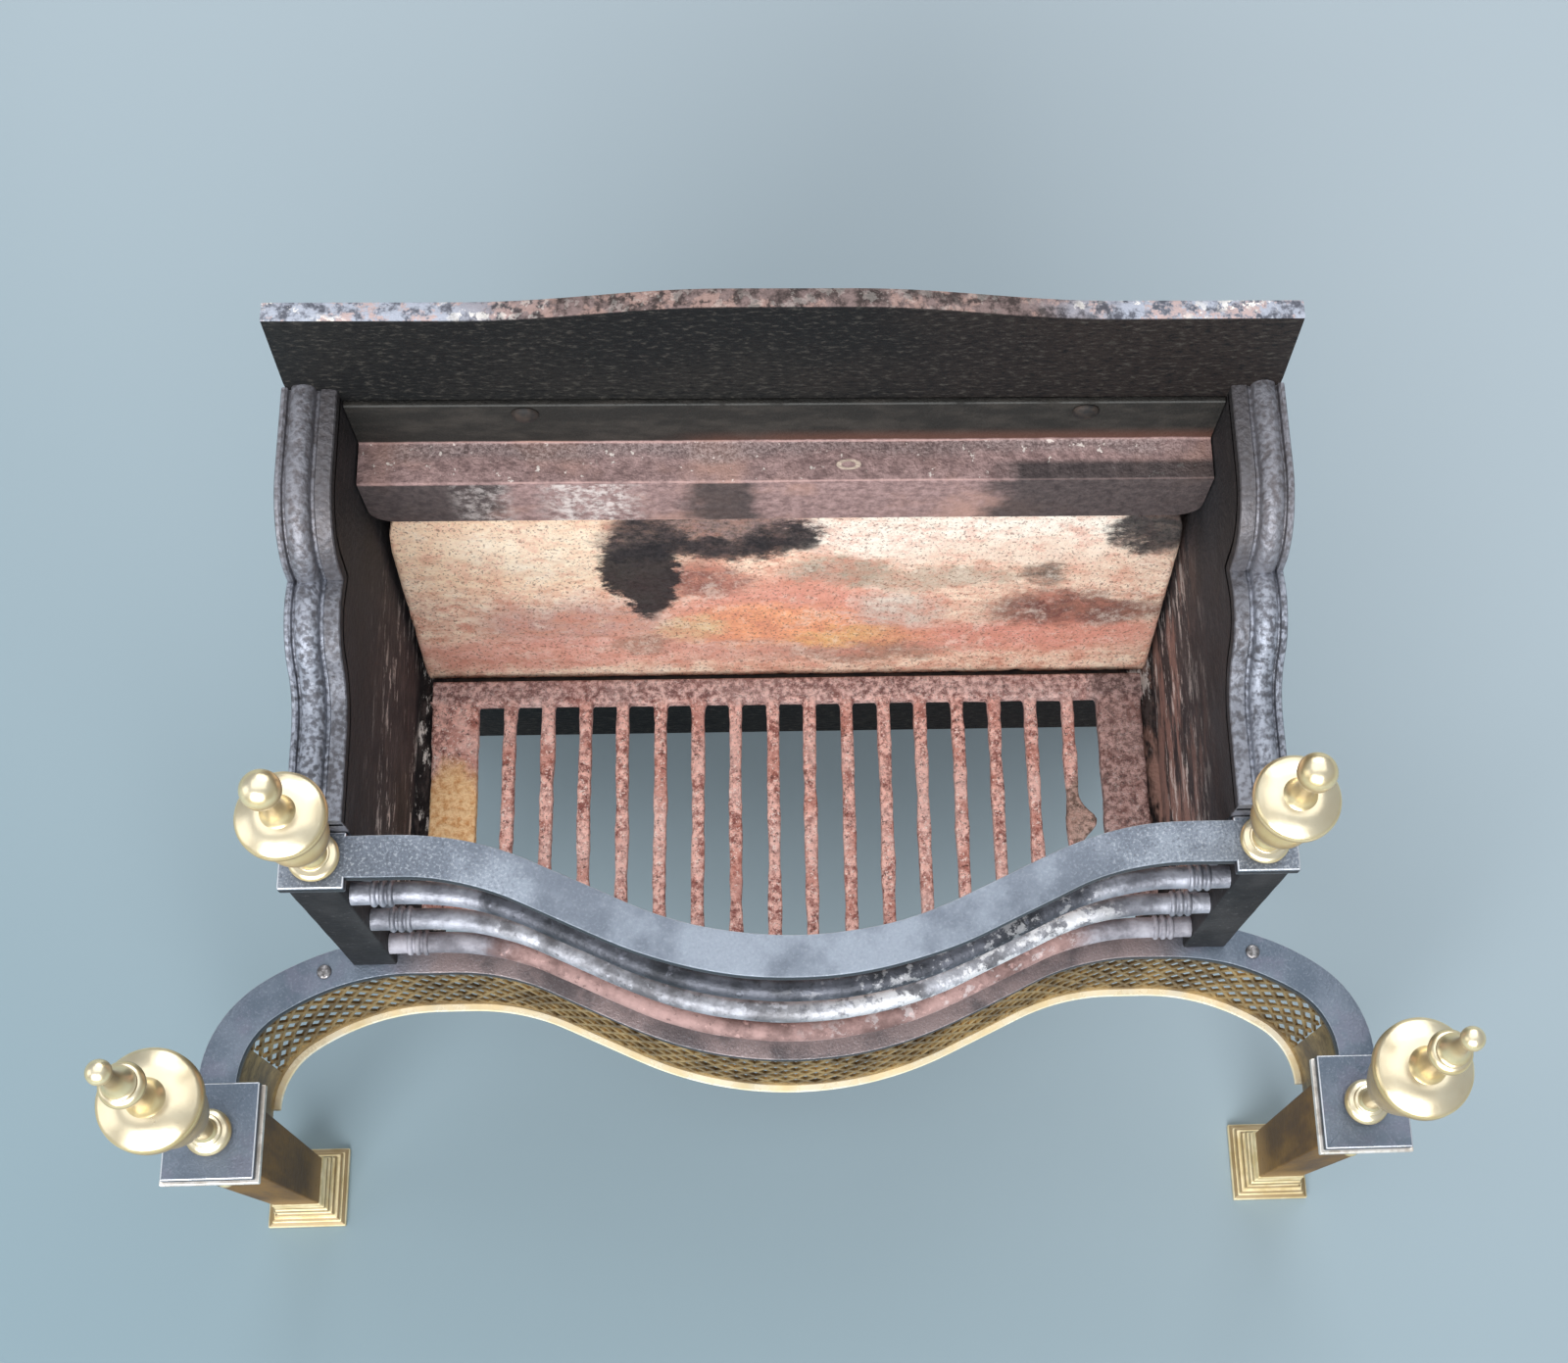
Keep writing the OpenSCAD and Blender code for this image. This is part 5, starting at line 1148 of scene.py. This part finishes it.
rosette_level, boss_radius, button_radius = 0.241, 9 * mm, 4.05 * mm
leg_half_there = leg_half_foot + leg_flare * (rosette_level - foot_top) / leg_rise
lean_back = math.atan2(leg_flare, leg_rise)
button = [(button_radius * math.cos(math.pi / 2 * k / 7), (4.2 + 2.2 * math.sin(math.pi / 2 * k / 7)) * mm)
          for k in range(8)]
for side, hand in ((-1, "left"), (1, "right")):
    face = (Matrix.Translation((side * leg_x, leg_y - leg_half_there, rosette_level))
            @ Matrix.Rotation(lean_back, 4, "X") @ facing_front)
    boss = Stock()
    rings = []
    for reach, height in ((0.97, 0), (1, 0.4), (1, 3.0), (0.96, 3.8), (0.86, 4.1), (0.70, 3.3), (0.55, 3.4)):
        ring = []
        for k in range(96):
            a = 2 * math.pi * k / 96
            flute = 1 - 0.09 * max(0, math.cos(12 * a)) ** 2 * min(1, max(0, reach - 0.5) * 2.2)
            far = boss_radius * reach * flute
            ring.append(face @ Vector((far * math.cos(a), far * math.sin(a), height * mm)))
        rings.append(ring)
    boss.loft(rings)
    boss.turn([(button_radius, 1 * mm)] + button, (0, 0, 0), 32, face)
    boss.piece(f"leg_rosette_{hand}", polished, "basket", "polished_brass", f"{hand}_rosette")


# Finials: turned brass urns on the four corners. A cup, a cover and a ball or a spire are threaded
# on a steel rod; the tall pair stands over the legs, the short pair on the pads of the top rail.
def swell(r0, r1, z0, z1, count=14):
    return [(r0 + (r1 - r0) * ease(k / count), z0 + (z1 - z0) * k / count) for k in range(count + 1)]


def roll(r, z0, z1, reach, count=8):
    """A half-round moulding on a turning."""
    angles = [math.pi * k / count for k in range(count + 1)]
    return [(r + reach * math.sin(a), z0 + (z1 - z0) * (1 - math.cos(a)) / 2) for a in angles]


upper_x, upper_y = (pad_in + pad_out) / 2 - 1.5 * mm, (pad_rear + pad_front) / 2 + 1.5 * mm
upper_cup = ([(0, 0), (9, 0)] + roll(9.5, 0.2, 6, 4.4) + [(8.8, 6.4), (8.6, 7.4)] + roll(8.6, 7.6, 9.2, 1.2)
             + swell(8.4, 6.6, 9.6, 15, 6) + swell(6.8, 17, 16, 46, 16) + swell(16.9, 14.2, 47, 60, 6)
             + [(13.2, 60.4), (13.2, 61.4)] + swell(14, 17.5, 62, 66, 5) + roll(17.6, 66.2, 69.8, 1.5)
             + swell(16.8, 15.6, 70.2, 74, 4) + swell(16, 22.2, 74.4, 76.6, 5)
             + [(22.8, 77), (23, 78), (23, 80), (22.5, 81), (0, 81)])
upper_cover = ([(0, 0), (22.3, 0), (22.5, 0.8)]
               + [(22 - 13 * k / 10, 1.6 + 5 * math.sin(math.pi / 2 * k / 10)) for k in range(11)]
               + [(8.2, 7.4), (6.8, 9.4), (5.6, 13), (4.7, 19), (4.6, 26), (5.2, 29)]
               + roll(5.6, 29.6, 32.2, 1.0) + [(5, 32.6), (5, 33), (0, 33)])
lower_cup = ([(0, 0), (9, 0)] + roll(9.6, 0.2, 8.6, 4.4) + [(9, 9), (8.6, 10)] + roll(8.2, 10.2, 12.6, 1.6)
             + swell(7.6, 6, 13, 17, 5) + swell(6.2, 22, 18, 100, 22) + swell(22, 20.5, 101, 108, 4)
             + [(19.6, 108.6), (19.6, 109.8)] + roll(20, 110, 113.6, 1.8) + swell(20, 27, 114.4, 120.6, 7)
             + [(28.1, 121), (28.5, 122), (28.5, 128), (27.8, 129), (0, 129)])
lower_cover = ([(0, 0), (28, 0), (28.2, 0.9)]
               + [(27.6 - 16.6 * k / 10, 1.8 + 6 * math.sin(math.pi / 2 * k / 10)) for k in range(11)]
               + [(10.2, 8.6), (8.4, 11), (7, 15.5), (5.8, 23), (5.6, 31), (6.2, 34.6)]
               + roll(6.8, 35.4, 39.4, 1.5) + [(6.6, 40), (6.5, 44), (0, 44)])
spire = ([(0, 0), (7, 0)] + roll(8.1, 0.8, 10, 4.4) + [(9.4, 10.4), (9.4, 12.6), (8.7, 13.2)]
         + [(4.3 + 4.0 * (1 - k / 10) ** 2.4, 13.6 + 16 * k / 10) for k in range(11)] + [(4.3, 40)]
         + [(6.7 * math.cos(a), 45.3 + 6.7 * math.sin(a)) for a in
            (math.radians(-52 + 142 * k / 14) for k in range(15))])
ball = [(0, 0), (2.6, 0)] + [(10.2 * math.cos(a), 9.6 + 10.2 * math.sin(a)) for a in
                             (math.radians(-68 + 158 * k / 20) for k in range(21))]


def finial(side, hand, level, place, parts):
    """Turns the parts of one finial, stacked from a level upwards."""
    z = level
    for name, node, profile in parts:
        made = Stock()
        made.turn([(r * mm, h * mm) for r, h in profile], (side * place[0], place[1], z), 72)
        made.piece(f"{name}_{hand}", polished, "basket", "polished_brass", f"{hand}_{node}")
        z += profile[-1][1] * mm


rods = Stock()
for side, hand in ((-1, "left"), (1, "right")):
    finial(side, hand, rail_top, (upper_x, upper_y), (("short_urn", "upper_cup", upper_cup),
           ("short_urn_cover", "upper_cover", upper_cover), ("finial_ball", "upper_ball", ball)))
    finial(side, hand, rail_level, (leg_x, leg_y), (("tall_urn", "lower_cup", lower_cup),
           ("tall_urn_cover", "lower_cover", lower_cover), ("finial_spire", "lower_spire", spire)))
rod_r, rod_into_tip = 3 * mm, 8
upper_tall, lower_tall = upper_cup[-1][1] + upper_cover[-1][1], lower_cup[-1][1] + lower_cover[-1][1]
upper_end, lower_end = (upper_tall + rod_into_tip) * mm, (lower_tall + rod_into_tip) * mm
for side in (-1, 1):
    for x, y, low, high in ((upper_x, upper_y, rail_under - 30 * mm, rail_top + upper_end),
                            (leg_x, leg_y, cap_low.z - 40 * mm, rail_level + lower_end)):
        rods.turn([(0, 0), (rod_r - 0.5 * mm, 0), (rod_r, 0.5 * mm), (rod_r, high - low - 0.5 * mm),
                   (rod_r - 0.5 * mm, high - low), (0, high - low)], (side * x, y, low), 20)
rods.piece("finial_rod_set", rivet_steel, "basket", "fixing_steel", "finial_rods")
